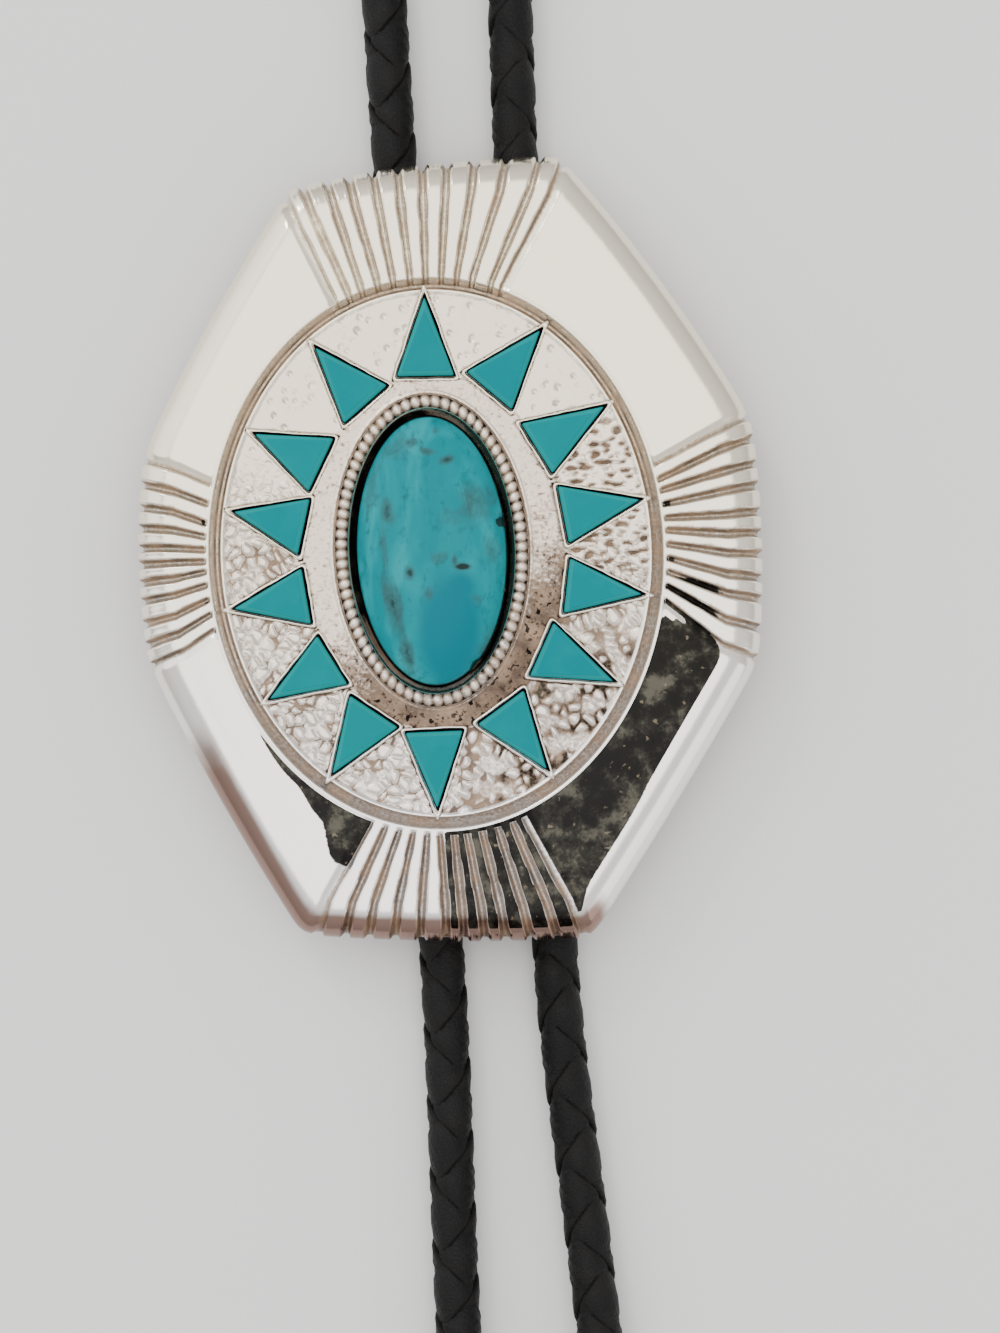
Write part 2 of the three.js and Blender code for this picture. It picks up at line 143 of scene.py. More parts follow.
# Corners of the outline clockwise from the upper left, in shares of the half width and length,
# and how far the side after each one swells
CORNERS = (
    (-0.47, 0.937, 0.024),
    (0.41, 0.988, 0.026),
    (0.981, 0.31, 0.024),
    (0.968, -0.325, 0.008),
    (0.4, -0.992, 0.016),
    (-0.53, -0.952, 0.014),
    (-0.981, -0.26, 0.024),
    (-0.968, 0.29, 0.018),
)

# inner and outer are the clock angles of a fan's first and last groove at the channel and at
# the outline, the shares place its grooves, and start is how far from the channel they begin.
FANS = (
    {
        "inner": (-19.6, 16.5),
        "outer": (-20.4, 20.2),
        "inner_shares": (0, 0.09, 0.17, 0.27, 0.36, 0.46, 0.55, 0.64, 0.73, 0.82, 0.93, 1),
        "outer_shares": (0, 0.07, 0.16, 0.24, 0.33, 0.42, 0.51, 0.6, 0.7, 0.81, 0.92, 1),
        "start": -1.0,
    },
    {
        "inner": (70.2, 104.6),
        "outer": (68.7, 110.6),
        "inner_shares": (0, 0.12, 0.2, 0.3, 0.4, 0.49, 0.59, 0.69, 0.79, 0.89, 1),
        "outer_shares": (0, 0.09, 0.19, 0.28, 0.39, 0.48, 0.57, 0.67, 0.76, 0.88, 1),
        "start": 0.3,
    },
    {
        "inner": (164.2, 196.0),
        "outer": (161.5, 199.7),
        "inner_shares": (0, 0.08, 0.18, 0.28, 0.38, 0.46, 0.55, 0.63, 0.72, 0.81, 0.9, 1),
        "outer_shares": (0, 0.09, 0.19, 0.28, 0.36, 0.44, 0.51, 0.61, 0.71, 0.81, 0.9, 1),
        "start": 0.5,
    },
    {
        "inner": (252.9, 289.6),
        "outer": (250.9, 290.4),
        "inner_shares": (0, 0.11, 0.21, 0.31, 0.4, 0.47, 0.55, 0.64, 0.73, 0.86, 1),
        "outer_shares": (0, 0.1, 0.2, 0.31, 0.4, 0.49, 0.57, 0.67, 0.77, 0.88, 1),
        "start": 0.3,
    },
)

# node, clock angle of the base on the ring, share of the ring, clock angle of the point,
# shares of the base and of the height
STONES = (
    ("stone_01", -1.4, 1.0, 1.5, 0.98, 1.01),
    ("stone_02", 27, 1.01, 42.5, 1.0, 1.01),
    ("stone_03", 55, 0.98, 60.5, 1.0, 1.01),
    ("stone_04", 79.5, 1.0, 81.5, 0.99, 0.99),
    ("stone_05", 102.5, 1.01, 99, 0.94, 0.96),
    ("stone_06", 126.5, 0.96, 116.5, 1.0, 1.0),
    ("stone_07", 153.5, 0.99, 146, 0.97, 0.98),
    ("stone_08", 184.3, 1.01, 180, 0.98, 0.97),
    ("stone_09", 211, 1.025, 216, 0.98, 0.95),
    ("stone_10", 235, 1.01, 240.5, 0.97, 0.94),
    ("stone_11", 258, 1.03, 262.5, 0.96, 0.93),
    ("stone_12", 280, 1.02, 284.5, 0.97, 0.91),
    ("stone_13", 301.5, 1.0, 297.5, 1.0, 0.93),
    ("stone_14", 330, 0.985, 321, 0.98, 0.97),
)

# Section of a stone from its foot to its flat table: how far out, how high, and how grimy, which also
# places the painted highlight along the bevel
STONE_SECTION = (
    (0.02, STONE_FOOT, 1.0),
    (0.02, STONE_TABLE - 0.7, 1.0),
    (0.0, STONE_TABLE - 0.4, 0.6),
    (-0.05, STONE_TABLE - 0.3, 0.3),
    (-0.4, STONE_TABLE - 0.05, 0.1),
    (-0.5, STONE_TABLE - 0.01, 0.0),
    (-0.62, STONE_TABLE, 0.0),
    (-0.85, STONE_TABLE, 0.0),
)

# Soft patches on the cabochon, in shares of its half width and length from its middle: where,
# how wide and long, its lean, and its strength
MURKY_PATCHES = (
    (-0.56, 0.28, 0.12, 0.12, -0.2, 1.0),
    (-0.62, 0.02, 0.07, 0.26, -0.1, 0.65),
    (-0.54, -0.40, 0.15, 0.26, -0.25, 0.9),
    (-0.38, -0.76, 0.12, 0.18, -0.3, 0.85),
    (-0.30, -0.17, 0.09, 0.06, 0.0, 1.0),
    (0.62, 0.32, 0.34, 0.20, 0.3, 0.72),
    (0.34, 0.24, 0.24, 0.10, 0.3, 0.6),
    (0.78, -0.02, 0.18, 0.16, 0.0, 0.6),
    (0.40, -0.14, 0.13, 0.028, 0.0, 1.55),
    (0.30, -0.10, 0.05, 0.05, 0.0, 1.0),
    (0.26, 0.66, 0.12, 0.045, 0.8, 1.15),
    (0.00, 0.73, 0.13, 0.035, -0.8, 0.95),
    (-0.22, 0.80, 0.12, 0.05, 0.0, 0.8),
    (0.12, 0.88, 0.08, 0.03, 0.0, 0.8),
    (-0.05, -0.33, 0.10, 0.06, 0.0, 0.75),
    (0.08, -0.06, 0.16, 0.06, 0.8, 0.7),
    (0.58, -0.38, 0.09, 0.05, 0.0, 0.7),
    (-0.76, 0.50, 0.16, 0.26, 0.3, 0.6),
    (-0.42, 0.78, 0.22, 0.14, 0.8, 0.55),
    (0.70, -0.70, 0.12, 0.22, 0.9, 0.6),
)
DEEP_PATCHES = (
    (0.20, -0.60, 0.46, 0.44, 0.1, 1.1),
    (0.35, -0.30, 0.30, 0.18, 0.0, 0.8),
    (-0.10, 0.10, 0.30, 0.20, 0.0, 0.3),
)

# Section of the channel's outer side: how far in from its edge, and how far below the face
CHANNEL_SECTION = (
    (1.5, 1.9), (1.05, 1.5), (1.0, 0.85), (0.85, 0.8), (0.7, 0.76), (0.55, 0.7), (0.42, 0.6), (0.3, 0.45),
    (0.2, 0.28), (0.12, 0.12), (0.05, 0.01), (0.0, -0.04), (-0.08, -0.07), (-0.2, -0.06),
    (-0.35, -0.01), (-PANEL_START, 0.0),
)

# Section of the channel's inner side: how far out from the field, how high above the face, and
# how brown
CHANNEL_WALL = (
    (0.05, -0.06, 0.2), (0.12, -0.2, 0.7), (0.2, -0.4, 0.95), (0.32, -0.58, 0.8), (0.45, -0.68, 0.45),
    (0.6, -0.74, 0.4), (0.75, -0.9, 0.4),
)

# Section of the cabochon's seat: how far out, and how high above the face in shade and in light
SEAT_SECTION = (
    (-0.34, -1.3, -1.0), (-0.24, -1.28, -0.8), (-0.12, -1.25, -0.7), (0.0, -1.15, -0.6), (0.1, -0.8, -0.48),
    (0.2, -0.5, -0.32), (0.3, -0.22, -0.15), (0.38, 0.0, 0.0), (0.47, 0.14, 0.14),
)

# Section of the ledge outside the beads: how far out, how high above the flat ring, and how brown
LEDGE_SECTION = (
    (1.33, 0.2, 0.7), (1.42, 0.08, 0.9), (1.52, 0.1, 0.5), (1.62, 0.12, 0.1), (1.74, 0.05, 0.2),
    (1.86, 0.0, 0.45),
)

# Dark patch at the lower right: clock angles of its side along the fan and of its soft end, how
# far it keeps from the edge beside the panel and under the fan, and the rounding of its corner
PATCH_SIDE = 108.2
PATCH_END = (179.5, 182)
PATCH_INSET = (3.6, 1.2)
PATCH_ROUND = 3.0

# Dark wedge at the lower left, a painted reflection: the clock angles between which it widens, and by how
# much
WEDGE = ((250, 238, 0.5), (232, 214, 0.9), (214, 205, 1.6), (206, 200.5, 3.6))

# Black in some grooves: the clock angles where it begins, is full, fades and ends, how far from the
# channel it fades and ends, and its strength
GROOVE_BLACK = (
    (96, 100, 109, 110, 3.5, 8.5, 1.0),
    (69, 72, 96, 99, 0.8, 1.8, 0.75),
    (252, 254, 288, 290, 0.5, 1.4, 0.8),
)

# Round the cabochon's seat by clock angle: how deep in shade its wall is, which also sets the painted
# shadow and painted brown shade on it, how far out the black gap beside the stone, a painted shadow,
# reaches in millimetres, and how brown the wall is
SEAT_SHADE = ((0, 0.5), (18, 0.2), (40, 0.0), (220, 0.0), (243, 0.5), (258, 1.0), (346, 1.0), (360, 0.5))
SEAT_GAPS = (
    (0, -0.3), (40, -0.3), (58, -0.2), (70, -0.04), (90, 0.0), (105, -0.1), (122, 0.0), (140, 0.14),
    (150, 0.0), (158, -0.3), (360, -0.3),
)
SEAT_BROWN = ((0, 0.7), (40, 0.3), (140, 0.3), (160, 0.5), (190, 0.45), (215, 0.85), (360, 0.7))

# Chips at the cabochon's edge: where, how deep and how wide
CHIPS = (((5.3, 2.4), 0.4, 0.9), ((2.5, -12.1), 0.4, 1.3))

# Section of a strand: shares of its half width and of its rise
STRAND_SECTION = (
    (1, 0), (0.97, 0.7), (0.84, 0.97), (0.42, 1), (0, 1), (-0.42, 1), (-0.84, 0.97), (-0.97, 0.7),
    (-1, 0), (-0.8, -1), (0, -1), (0.8, -1),
)

# The cord's route from the left tip round the neck to the right tip
CORD_ROUTE = (
    (-2.6, -97, TIP_RADIUS),
    (-2.6, -85, TIP_RADIUS),
    (-2.65, -72, LYING),
    (-2.6, -46, LYING),
    (-3.2, -24, LYING),
    (-3.4, -13, HELD),
    (-3.4, 0, HELD),
    (-3.4, 13, HELD),
    (-3.8, 24, LYING),
    (-4.2, 46, LYING),
    (-5.2, 66, LYING),
    (-11, 88, LYING),
    (-19.5, 112, LYING),
    (-25.5, 138, LYING),
    (-26.5, 163, LYING),
    (-18.5, 182.5, LYING),
    (0.9, 191, LYING),
    (20.3, 182.5, LYING),
    (28.3, 163, LYING),
    (27.3, 138, LYING),
    (21.5, 112, LYING),
    (14, 88, LYING),
    (9.2, 66, LYING),
    (8.4, 46, LYING),
    (8.6, 24, LYING),
    (8.8, 13, HELD),
    (8.8, 0, HELD),
    (8.8, -13, HELD),
    (8.8, -24, LYING),
    (9, -46, LYING),
    (10.7, -68, LYING),
    (12, -85, TIP_RADIUS),
    (12.9, -97, TIP_RADIUS),
)


def mix(a, b, share):
    return a + (b - a) * share


def smooth(low, high, value):
    """0 at low and before it, 1 at high and past it, smooth between; low may be the greater."""
    share = min(1.0, max(0.0, (value - low) / (high - low)))
    return share * share * (3 - 2 * share)


def along_table(table, value):
    """The second number of a table's rows, read between them at a value of the first."""
    for (low, first), (high, second) in zip(table, table[1:]):
        if value <= high:
            return mix(first, second, (value - low) / (high - low))
    return table[-1][1]


def grown(oval, by):
    return oval[0] + by, oval[1] + by


SEAT = grown(CABOCHON, SEAT_SLACK)
BEZEL = grown(SEAT, BEZEL_FLARE)
FIELD = grown(CHANNEL, -CHANNEL_WIDTH)


# Sizes and colours that a user would change


class CordSizes(bpy.types.PropertyGroup):
    plait_length: FloatProperty(
        name="Plait length",
        description="Length along the cord of one left and one right plait",
        default=0.0073,
        unit="LENGTH",
    )
    strand_width: FloatProperty(
        name="Strand width",
        description="Width of one leather strand",
        default=0.0042,
        unit="LENGTH",
    )
    leather: FloatVectorProperty(
        name="Leather",
        description="Colour of the leather",
        default=(0.0030, 0.0028, 0.0030),
        subtype="COLOR",
    )


class SlideSizes(bpy.types.PropertyGroup):
    groove_width: FloatProperty(
        name="Groove width",
        description="Width of a groove in the fans",
        default=0.00095,
        unit="LENGTH",
    )
    groove_depth: FloatProperty(
        name="Groove depth",
        description="Depth of a groove in the fans",
        default=0.0005,
        unit="LENGTH",
    )
    flute_columns: IntProperty(
        name="Flute columns",
        description="Mesh columns between two grooves",
        default=16,
    )
    hammer_size: FloatProperty(
        name="Hammer mark",
        description="Size of one raised mark in the field between the stones",
        default=0.00105,
        unit="LENGTH",
    )
    metal: FloatVectorProperty(
        name="Metal",
        description="Colour of the polished casting",
        default=(0.95, 0.87, 0.71),
        subtype="COLOR",
    )


class StoneSizes(bpy.types.PropertyGroup):
    dome_height: FloatProperty(
        name="Dome height",
        description="Height of the cabochon's dome above its edge",
        default=0.0026,
        unit="LENGTH",
    )
    turquoise: FloatVectorProperty(
        name="Turquoise",
        description="Main colour of the stones",
        default=(0.0003, 0.205, 0.24),
        subtype="COLOR",
    )


# Shader arithmetic


class Value:
    """A shader socket that takes part in plain arithmetic."""

    def __init__(self, finish, socket):
        self.finish = finish
        self.socket = socket

    def math(self, operation, *others):
        values = {0: self}
        values.update({place + 1: other for place, other in enumerate(others)})
        made = self.finish.node("ShaderNodeMath", values, operation=operation)
        return Value(self.finish, made.outputs[0])

    def __add__(self, other):
        return self.math("ADD", other)

    __radd__ = __add__

    def __sub__(self, other):
        return self.math("SUBTRACT", other)

    def __rsub__(self, other):
        return self.math("MULTIPLY", -1.0).math("ADD", other)

    def __mul__(self, other):
        return self.math("MULTIPLY", other)

    __rmul__ = __mul__

    def between(self, low, high):
        """0 at low or less, 1 at high or more, smooth between."""
        made = self.finish.node(
            "ShaderNodeMapRange",
            {"Value": self, "From Min": low, "From Max": high},
            interpolation_type="SMOOTHSTEP",
        )
        return Value(self.finish, made.outputs["Result"])


class Finish:
    """A procedural material that is put together node by node."""

    def __init__(self, name):
        self.material = bpy.data.materials.new(name)
        self.material.use_nodes = True
        self.tree = self.material.node_tree
        self.shader = next(n for n in self.tree.nodes if n.type == "BSDF_PRINCIPLED")
        place = self.node("ShaderNodeTexCoord")
        self.place = Value(self, place.outputs["Object"])

    def node(self, kind, values=None, ramp=None, **settings):
        made = self.tree.nodes.new(kind)
        for setting, value in settings.items():
            setattr(made, setting, value)
        if ramp:
            elements = made.color_ramp.elements
            while len(elements) < len(ramp):
                elements.new(0.5)
            for element, (stop, colour) in zip(elements, ramp):
                element.position = stop
                element.color = (*colour, 1.0)
        for key, value in (values or {}).items():
            self.feed(made.inputs[key], value)
        return made

    def feed(self, socket, value):
        if isinstance(value, Value):
            self.tree.links.new(value.socket, socket)
        elif socket.type == "RGBA" and len(value) == 3:
            socket.default_value = (*value, 1.0)
        else:
            socket.default_value = value

    def height_up(self):
        """How far up the tie a place is, in metres."""
        return Value(self, self.node("ShaderNodeSeparateXYZ", {"Vector": self.place}).outputs["Y"])

    def moved(self, scale, turn=(0, 0, 0)):
        """Object coordinates that are stretched and turned."""
        values = {"Vector": self.place, "Scale": scale, "Rotation": turn}
        return Value(self, self.node("ShaderNodeMapping", values).outputs[0])

    def cloud(self, size, detail=3.0, roughness=0.55, distortion=0.0, place=None):
        """Noise whose patches are about size metres across."""
        values = {
            "Vector": place or self.place,
            "Scale": 1.0 / size,
            "Detail": detail,
            "Roughness": roughness,
            "Distortion": distortion,
        }
        return Value(self, self.node("ShaderNodeTexNoise", values).outputs["Fac"])

    def cells(self, size, feature="F1"):
        """Distances from points or edges of cells about size metres across."""
        values = {"Vector": self.place, "Scale": 1.0 / size}
        made = self.node("ShaderNodeTexVoronoi", values, feature=feature)
        return Value(self, made.outputs["Distance"])

    def carried(self, name):
        """A number that the piece's mesh carries from place to place."""
        made = self.node("ShaderNodeAttribute", attribute_name=name)
        return Value(self, made.outputs["Fac"])

    def colours(self, first, second, share):
        values = {"Factor": share, 6: first, 7: second}
        made = self.node("ShaderNodeMix", values, data_type="RGBA")
        return Value(self, made.outputs[2])

    def ramp(self, value, stops):
        made = self.node("ShaderNodeValToRGB", {"Fac": value}, ramp=stops)
        return Value(self, made.outputs["Color"])

    def relief(self, height, depth, strength):
        values = {"Height": height, "Distance": depth, "Strength": strength}
        return Value(self, self.node("ShaderNodeBump", values).outputs[0])

    def give(self, **sockets):
        """Feeds the shader's sockets, named with underscores, and gives the material."""
        for name, value in sockets.items():
            self.feed(self.shader.inputs[name.replace("_", " ")], value)
        return self.material


def cast_silver():
    """Warm polished casting: brown patina in the recesses, with painted shade on the side of each groove away
    from the light; dark where the piece carries it: stains and dark patches, painted shadow in gaps and
    crevices, a painted dark reflection at the lower left; and a painted pinkish reflection on the rolled
    edge.
    """
    sizes = bpy.context.scene.slide_sizes
    finish = Finish("cast_silver")
    # The pieces carry brown patina together with painted shade, dark stains together with painted shadow and
    # a painted dark reflection, and a painted pinkish reflection on the rolled edge.
    patina_and_shade = finish.carried("patina_and_shade")
    stain_shadow_and_reflection = finish.carried("stain_shadow_and_reflection")
    satin = finish.carried("satin")
    pink_reflection = finish.carried("pink_reflection")
    fine = finish.cloud(0.00035, 4.0, 0.6)
    broad = finish.cloud(0.009, 3.0)
    mottle = finish.cloud(0.0026, 5.0, 0.6)
    haze = finish.cloud(0.006, 3.0, 0.5)
    specks = finish.cells(0.0008)
    # Where the dark colour goes: stains and dark patches, painted shadow and a painted dark reflection.
    dark_share = (stain_shadow_and_reflection + (fine - 0.5) * 0.3).between(0.4, 0.56)
    # Where the brown goes: patina in the recesses and painted shade.
    patina_shade_share = (patina_and_shade + (fine - 0.5) * (0.45 + satin * 0.5) + (mottle - 0.5) * 0.45).between(0.28, 0.82)
    # The metal is whiter towards the bottom of the tie and creamier towards the top.
    metal = finish.colours((0.97, 0.95, 0.93), tuple(sizes.metal), finish.height_up().between(-0.03, 0.012))
    metal = finish.colours(metal, (0.97, 0.92, 0.82), broad.between(0.5, 0.9) * 0.5)
    metal = finish.colours(metal, (0.76, 0.60, 0.51), satin * 0.85)
    # Painted reflection: a pinkish-brown band on the rolled edge at the lower left and at the foot.
    metal = finish.colours(metal, (0.22, 0.115, 0.085), (pink_reflection + (haze - 0.5) * 0.5).between(0.1, 0.75) * 0.92)
    brown = finish.colours((0.07, 0.038, 0.022), (0.37, 0.25, 0.165), mottle.between(0.3, 0.7))
    patinated_and_shaded = finish.colours(metal, brown, patina_shade_share * 0.92)
    dots = finish.cloud(0.0004, 2.0, 0.5).between(0.56, 0.66) * satin.between(0.6, 0.8)
    patinated_and_shaded = finish.colours(patinated_and_shaded, (0.05, 0.026, 0.016), dots * (patina_and_shade.between(0.1, 0.7) * 0.7 + 0.12))
    spots = (mottle * 0.6 + haze * 0.25 + fine * 0.15).between(0.38, 0.62)
    dark = finish.ramp(
        spots,
        (
            (0.0, (0.0006, 0.0005, 0.0004)),
            (0.35, (0.003, 0.0025, 0.002)),
            (0.7, (0.017, 0.016, 0.013)),
            (1.0, (0.07, 0.066, 0.05)),
        ),
    )
    flecks = finish.cloud(0.0008, 2.0, 0.5).between(0.66, 0.74)
    dark = finish.colours(dark, (0.16, 0.13, 0.09), flecks * 0.7)
    # Dark stains and patches, painted shadow in gaps and crevices, and the painted dark reflection at the
    # lower left.
    colour = finish.colours(patinated_and_shaded, dark, dark_share * 0.985)
    scratch = finish.cloud(0.0006, 2.0, 0.5, 0.0, finish.moved((1, 0.06, 1), (0, 0, 0.6)))
    rough = 0.2 + satin * 0.24 + patina_shade_share * 0.3 + dark_share * 0.16 + (fine - 0.5) * 0.08
    height = scratch * 0.12 + fine * (satin * 1.1 + patina_shade_share * 0.7 + 0.05) + broad * 0.6
    height = height + specks.between(0.0, 0.35) * (dark_share * 0.3 + satin * 0.5)
    return finish.give(
        Base_Color=colour,
        Metallic=1.0 - patina_shade_share * 0.45,
        Roughness=rough,
        Specular_IOR_Level=0.2,
        Normal=finish.relief(height, 0.00006, 0.8),
    )


def matrix_turquoise():
    """Polished turquoise with grey-brown veils, dark specks, deeper teal patches strongest towards its lower
    end, and a very dark foot, which is painted shadow.
    """
    stones = bpy.context.scene.stone_sizes
    finish = Finish("matrix_turquoise")
    drift = finish.moved((1.0, 0.42, 1.0), (0, 0, 0.12))
    broad = finish.cloud(0.0055, 3.0, 0.55, 0.9, drift)
    ragged = finish.cloud(0.0016, 5.0, 0.65, 0.8, drift)
    specks = finish.cloud(0.0007, 4.0, 0.62, 0.3)
    edge = finish.carried("edge")
    murk = finish.carried("murk")
    deep = finish.carried("deep")
    rich = (0.0002, 0.165, 0.215)
    base = finish.colours(tuple(stones.turquoise), (0.012, 0.31, 0.345), broad.between(0.4, 0.68))
    base = finish.colours(base, (0.001, 0.13, 0.155), (ragged * 0.7 + specks * 0.3).between(0.5, 0.66) * 0.65)
    base = finish.colours(base, rich, (deep + (broad - 0.5) * 0.5).between(0.25, 0.75))
    veil = (murk + (ragged - 0.5) * 1.1 + (specks - 0.5) * 0.5).between(0.2, 0.85)
    colour = finish.colours(base, (0.04, 0.115, 0.12), veil * 0.85)
    core = (murk + (specks - 0.5) * 0.9 + (ragged - 0.5) * 0.6).between(0.75, 1.15)
    colour = finish.colours(colour, (0.016, 0.024, 0.023), core * 0.9)
    stray = (specks * 0.7 + ragged * 0.6).between(0.75, 0.88)
    colour = finish.colours(colour, (0.03, 0.10, 0.105), stray * 0.6)
    # Very dark at the foot, a painted shadow, and in the chips.
    colour = finish.colours(colour, (0.004, 0.03, 0.032), (edge + (specks - 0.5) * 0.3).between(0.5, 1.0))
    return finish.give(
        Base_Color=colour,
        Roughness=0.3 + veil * 0.12 + core * 0.2,
        Specular_IOR_Level=0.07,
        Normal=finish.relief(specks * 0.4 - core + broad * 0.3, 0.00005, 0.5),
    )


def inlay_turquoise():
    """Plain turquoise, a little uneven from stone to stone, with a painted highlight along its bevel and
    grime at its foot.
    """
    stones = bpy.context.scene.stone_sizes
    finish = Finish("inlay_turquoise")
    tone = finish.carried("tone")
    broad = finish.cloud(0.003, 2.0)
    fine = finish.cloud(0.0005, 4.0, 0.6)
    edge = finish.carried("edge")
    colour = finish.colours(tuple(stones.turquoise), (0.001, 0.225, 0.238), tone.between(0.25, 0.75))
    colour = finish.colours(colour, (0.002, 0.25, 0.275), broad.between(0.45, 0.8) * 0.5)
    # Painted highlight: a lighter band along the bevel round the table.
    painted_edge_highlight = edge.between(0.02, 0.12) * (1.0 - edge.between(0.2, 0.45))
    colour = finish.colours(colour, (0.03, 0.33, 0.31), painted_edge_highlight * 0.4)
    foot = (edge + (fine - 0.5) * 0.4).between(0.4, 0.85)
    colour = finish.colours(colour, (0.006, 0.03, 0.028), foot * 0.95)
    return finish.give(
        Base_Color=colour,
        Roughness=0.5 + (fine - 0.5) * 0.12 + foot * 0.3,
        Specular_IOR_Level=0.02,
        Normal=finish.relief(fine + broad * 0.8, 0.00005, 0.4),
    )


def laced_leather():
    """Black laced leather with a fine grain along each strand, lighter edges that are partly wear and partly
    painted sheen, and painted shadow in the creases between strands.
    """
    sizes = bpy.context.scene.cord_sizes
    finish = Finish("laced_leather")
    edge = finish.carried("edge")
    grain = finish.cells(0.00045, "DISTANCE_TO_EDGE")
    fine = finish.cloud(0.0003, 4.0, 0.65)
    broad = finish.cloud(0.004, 3.0)
    # Lighter edges of each strand: partly wear, partly painted sheen.
    wear_and_sheen = (edge + (fine - 0.5) * 0.5).between(0.55, 0.85)
    # Painted shadow in the creases where the strands tuck under each other.
    crease_shadow = edge.between(0.86, 0.97)
    colour = finish.colours(tuple(sizes.leather), (0.0075, 0.0069, 0.0069), broad.between(0.35, 0.75))
    colour = finish.colours(colour, (0.0085, 0.0075, 0.007), wear_and_sheen * 0.5)
    colour = finish.colours(colour, (0.0002, 0.0002, 0.0002), crease_shadow)
    return finish.give(
        Base_Color=colour,
        Roughness=0.55 + (fine - 0.5) * 0.2 + wear_and_sheen * 0.1,
        Normal=finish.relief(grain.between(0.0, 0.2) + fine * 0.8, 0.00005, 0.7),
        Specular_IOR_Level=0.2,
    )


def plain_metal(name, colour, roughness):
    """Plain drawn or stamped metal with fine brushing and a few dull patches."""
    finish = Finish(name)
    brushed = finish.cloud(0.0004, 3.0, 0.6, 0.0, finish.moved((1, 0.04, 1)))
    broad = finish.cloud(0.006, 3.0)
    dull = tuple(0.72 * channel for channel in colour)
    return finish.give(
        Base_Color=finish.colours(colour, dull, broad.between(0.45, 0.75) * 0.6),
        Metallic=1.0,
        Roughness=roughness + (broad - 0.5) * 0.18,
        Normal=finish.relief(brushed, 0.00003, 0.5),
    )


def pale_floor():
    """Plain pale grey, a little cloudy."""
    finish = Finish("pale_floor")
    cloud = finish.cloud(0.05, 3.0)
    return finish.give(
        Base_Color=finish.colours((0.87, 0.875, 0.88), (0.91, 0.91, 0.91), cloud),
        Roughness=0.8,
    )


# Shape of the slide


def outline_edges():
    """Each side's direction, normal, reach, middle, half length and swell, from the medallion."""
    corners = [
        Vector((across * HALF_WIDTH, along * HALF_LENGTH)) - Vector(MEDALLION) for across, along, _ in CORNERS
    ]
    edges = []
    for index, (_, _, bulge) in enumerate(CORNERS):
        start = corners[index]
        end = corners[(index + 1) % len(corners)]
        tangent = (end - start).normalized()
        normal = Vector((-tangent.y, tangent.x))
        half = (end - start).length / 2
        edges.append((tangent, normal, start.dot(normal), (start + end) / 2, half, bulge * HALF_WIDTH))
    return edges


OUTLINE = outline_edges()


def outline_reach(clock, inset):
    """Distance from the medallion's centre to the outline, inset by so many millimetres."""
    ray = Vector((math.sin(clock), math.cos(clock)))
    total = 0.0
    for tangent, normal, reach, middle, half, swell in OUTLINE:
        facing = ray.dot(normal)
        if facing < 0.1:
            continue
        share = min(1.0, abs((ray * (reach / facing) - middle).dot(tangent)) / half)
        total += ((reach + swell * (1 - share * share) - inset) / facing) ** -CORNER_SHARPNESS
    return total ** (-1 / CORNER_SHARPNESS)


def oval_reach(clock, oval, grow=0.0):
    """Distance from the medallion's centre to an oval, grown by so many millimetres."""
    return 1 / math.hypot(math.sin(clock) / (oval[0] + grow), math.cos(clock) / (oval[1] + grow))


def groove_stops():
    """The clock angles at the channel and at the outline of every groove, and its start."""
    stops = []
    for fan in FANS:
        for inner, outer in zip(fan["inner_shares"], fan["outer_shares"]):
            stops.append(
                {
                    "inner": math.radians(mix(*fan["inner"], inner)),
                    "outer": math.radians(mix(*fan["outer"], outer)),
                    "start": fan["start"],
                    "last": inner == 1,
                }
            )
    return stops


def frame_columns(flute_columns):
    """Columns of the frame's mesh: their clock angles and the grooves on both sides of them."""
    stops = groove_stops()
    columns = []
    for index, stop in enumerate(stops):
        after = stops[(index + 1) % len(stops)]
        turn = 2 * math.pi if index + 1 == len(stops) else 0.0
        count = 3 * flute_columns if stop["last"] else flute_columns
        for step in range(count):
            share = step / count
            columns.append(
                {
                    "inner": mix(stop["inner"], after["inner"] + turn, share),
                    "outer": mix(stop["outer"], after["outer"] + turn, share),
                    "near": (stop, after),
                    "share": None if stop["last"] else share,
                }
            )
    return columns


def frame_rows():
    """Rows of the frame's upper side, from the channel's floor to the side wall."""
    rows = [{"oval": inward, "drop": drop} for inward, drop in CHANNEL_SECTION]
    rows += [{"share": step / PANEL_ROWS} for step in range(1, PANEL_ROWS)]
    rows += [{"turn": math.radians(turn)} for turn in range(0, 91, ROLL_STEP)]
    rows += [{"wall": FACE - PANEL_FALL - ROLL_DROP - 0.8}, {"wall": RIM_BOTTOM + 0.25}]
    return rows


def frame_point(inner, outer, row):
    """Place on the smooth frame, and the direction that points out of it."""
    inner_ray = Vector((math.sin(inner), math.cos(inner)))
    if "oval" in row:
        reach = oval_reach(inner, CHANNEL, -row["oval"])
        return Vector((*(inner_ray * reach), FACE - row["drop"])), Vector((0, 0, 1))
    ray = Vector((math.sin(outer), math.cos(outer)))
    if "share" in row:
        near = inner_ray * (oval_reach(inner, CHANNEL) + PANEL_START)
        far = ray * outline_reach(outer, ROLL_WIDTH)
        place = near.lerp(far, row["share"])
        return Vector((*place, FACE - PANEL_FALL * row["share"] ** 1.5)), Vector((0, 0, 1))
    turn = row.get("turn", math.pi / 2)
    reach = outline_reach(outer, ROLL_WIDTH * (1 - math.sin(turn)))
    height = row.get("wall", FACE - PANEL_FALL - ROLL_DROP * (1 - math.cos(turn)))
    return Vector((*(ray * reach), height)), Vector((*(ray * math.sin(turn)), math.cos(turn)))


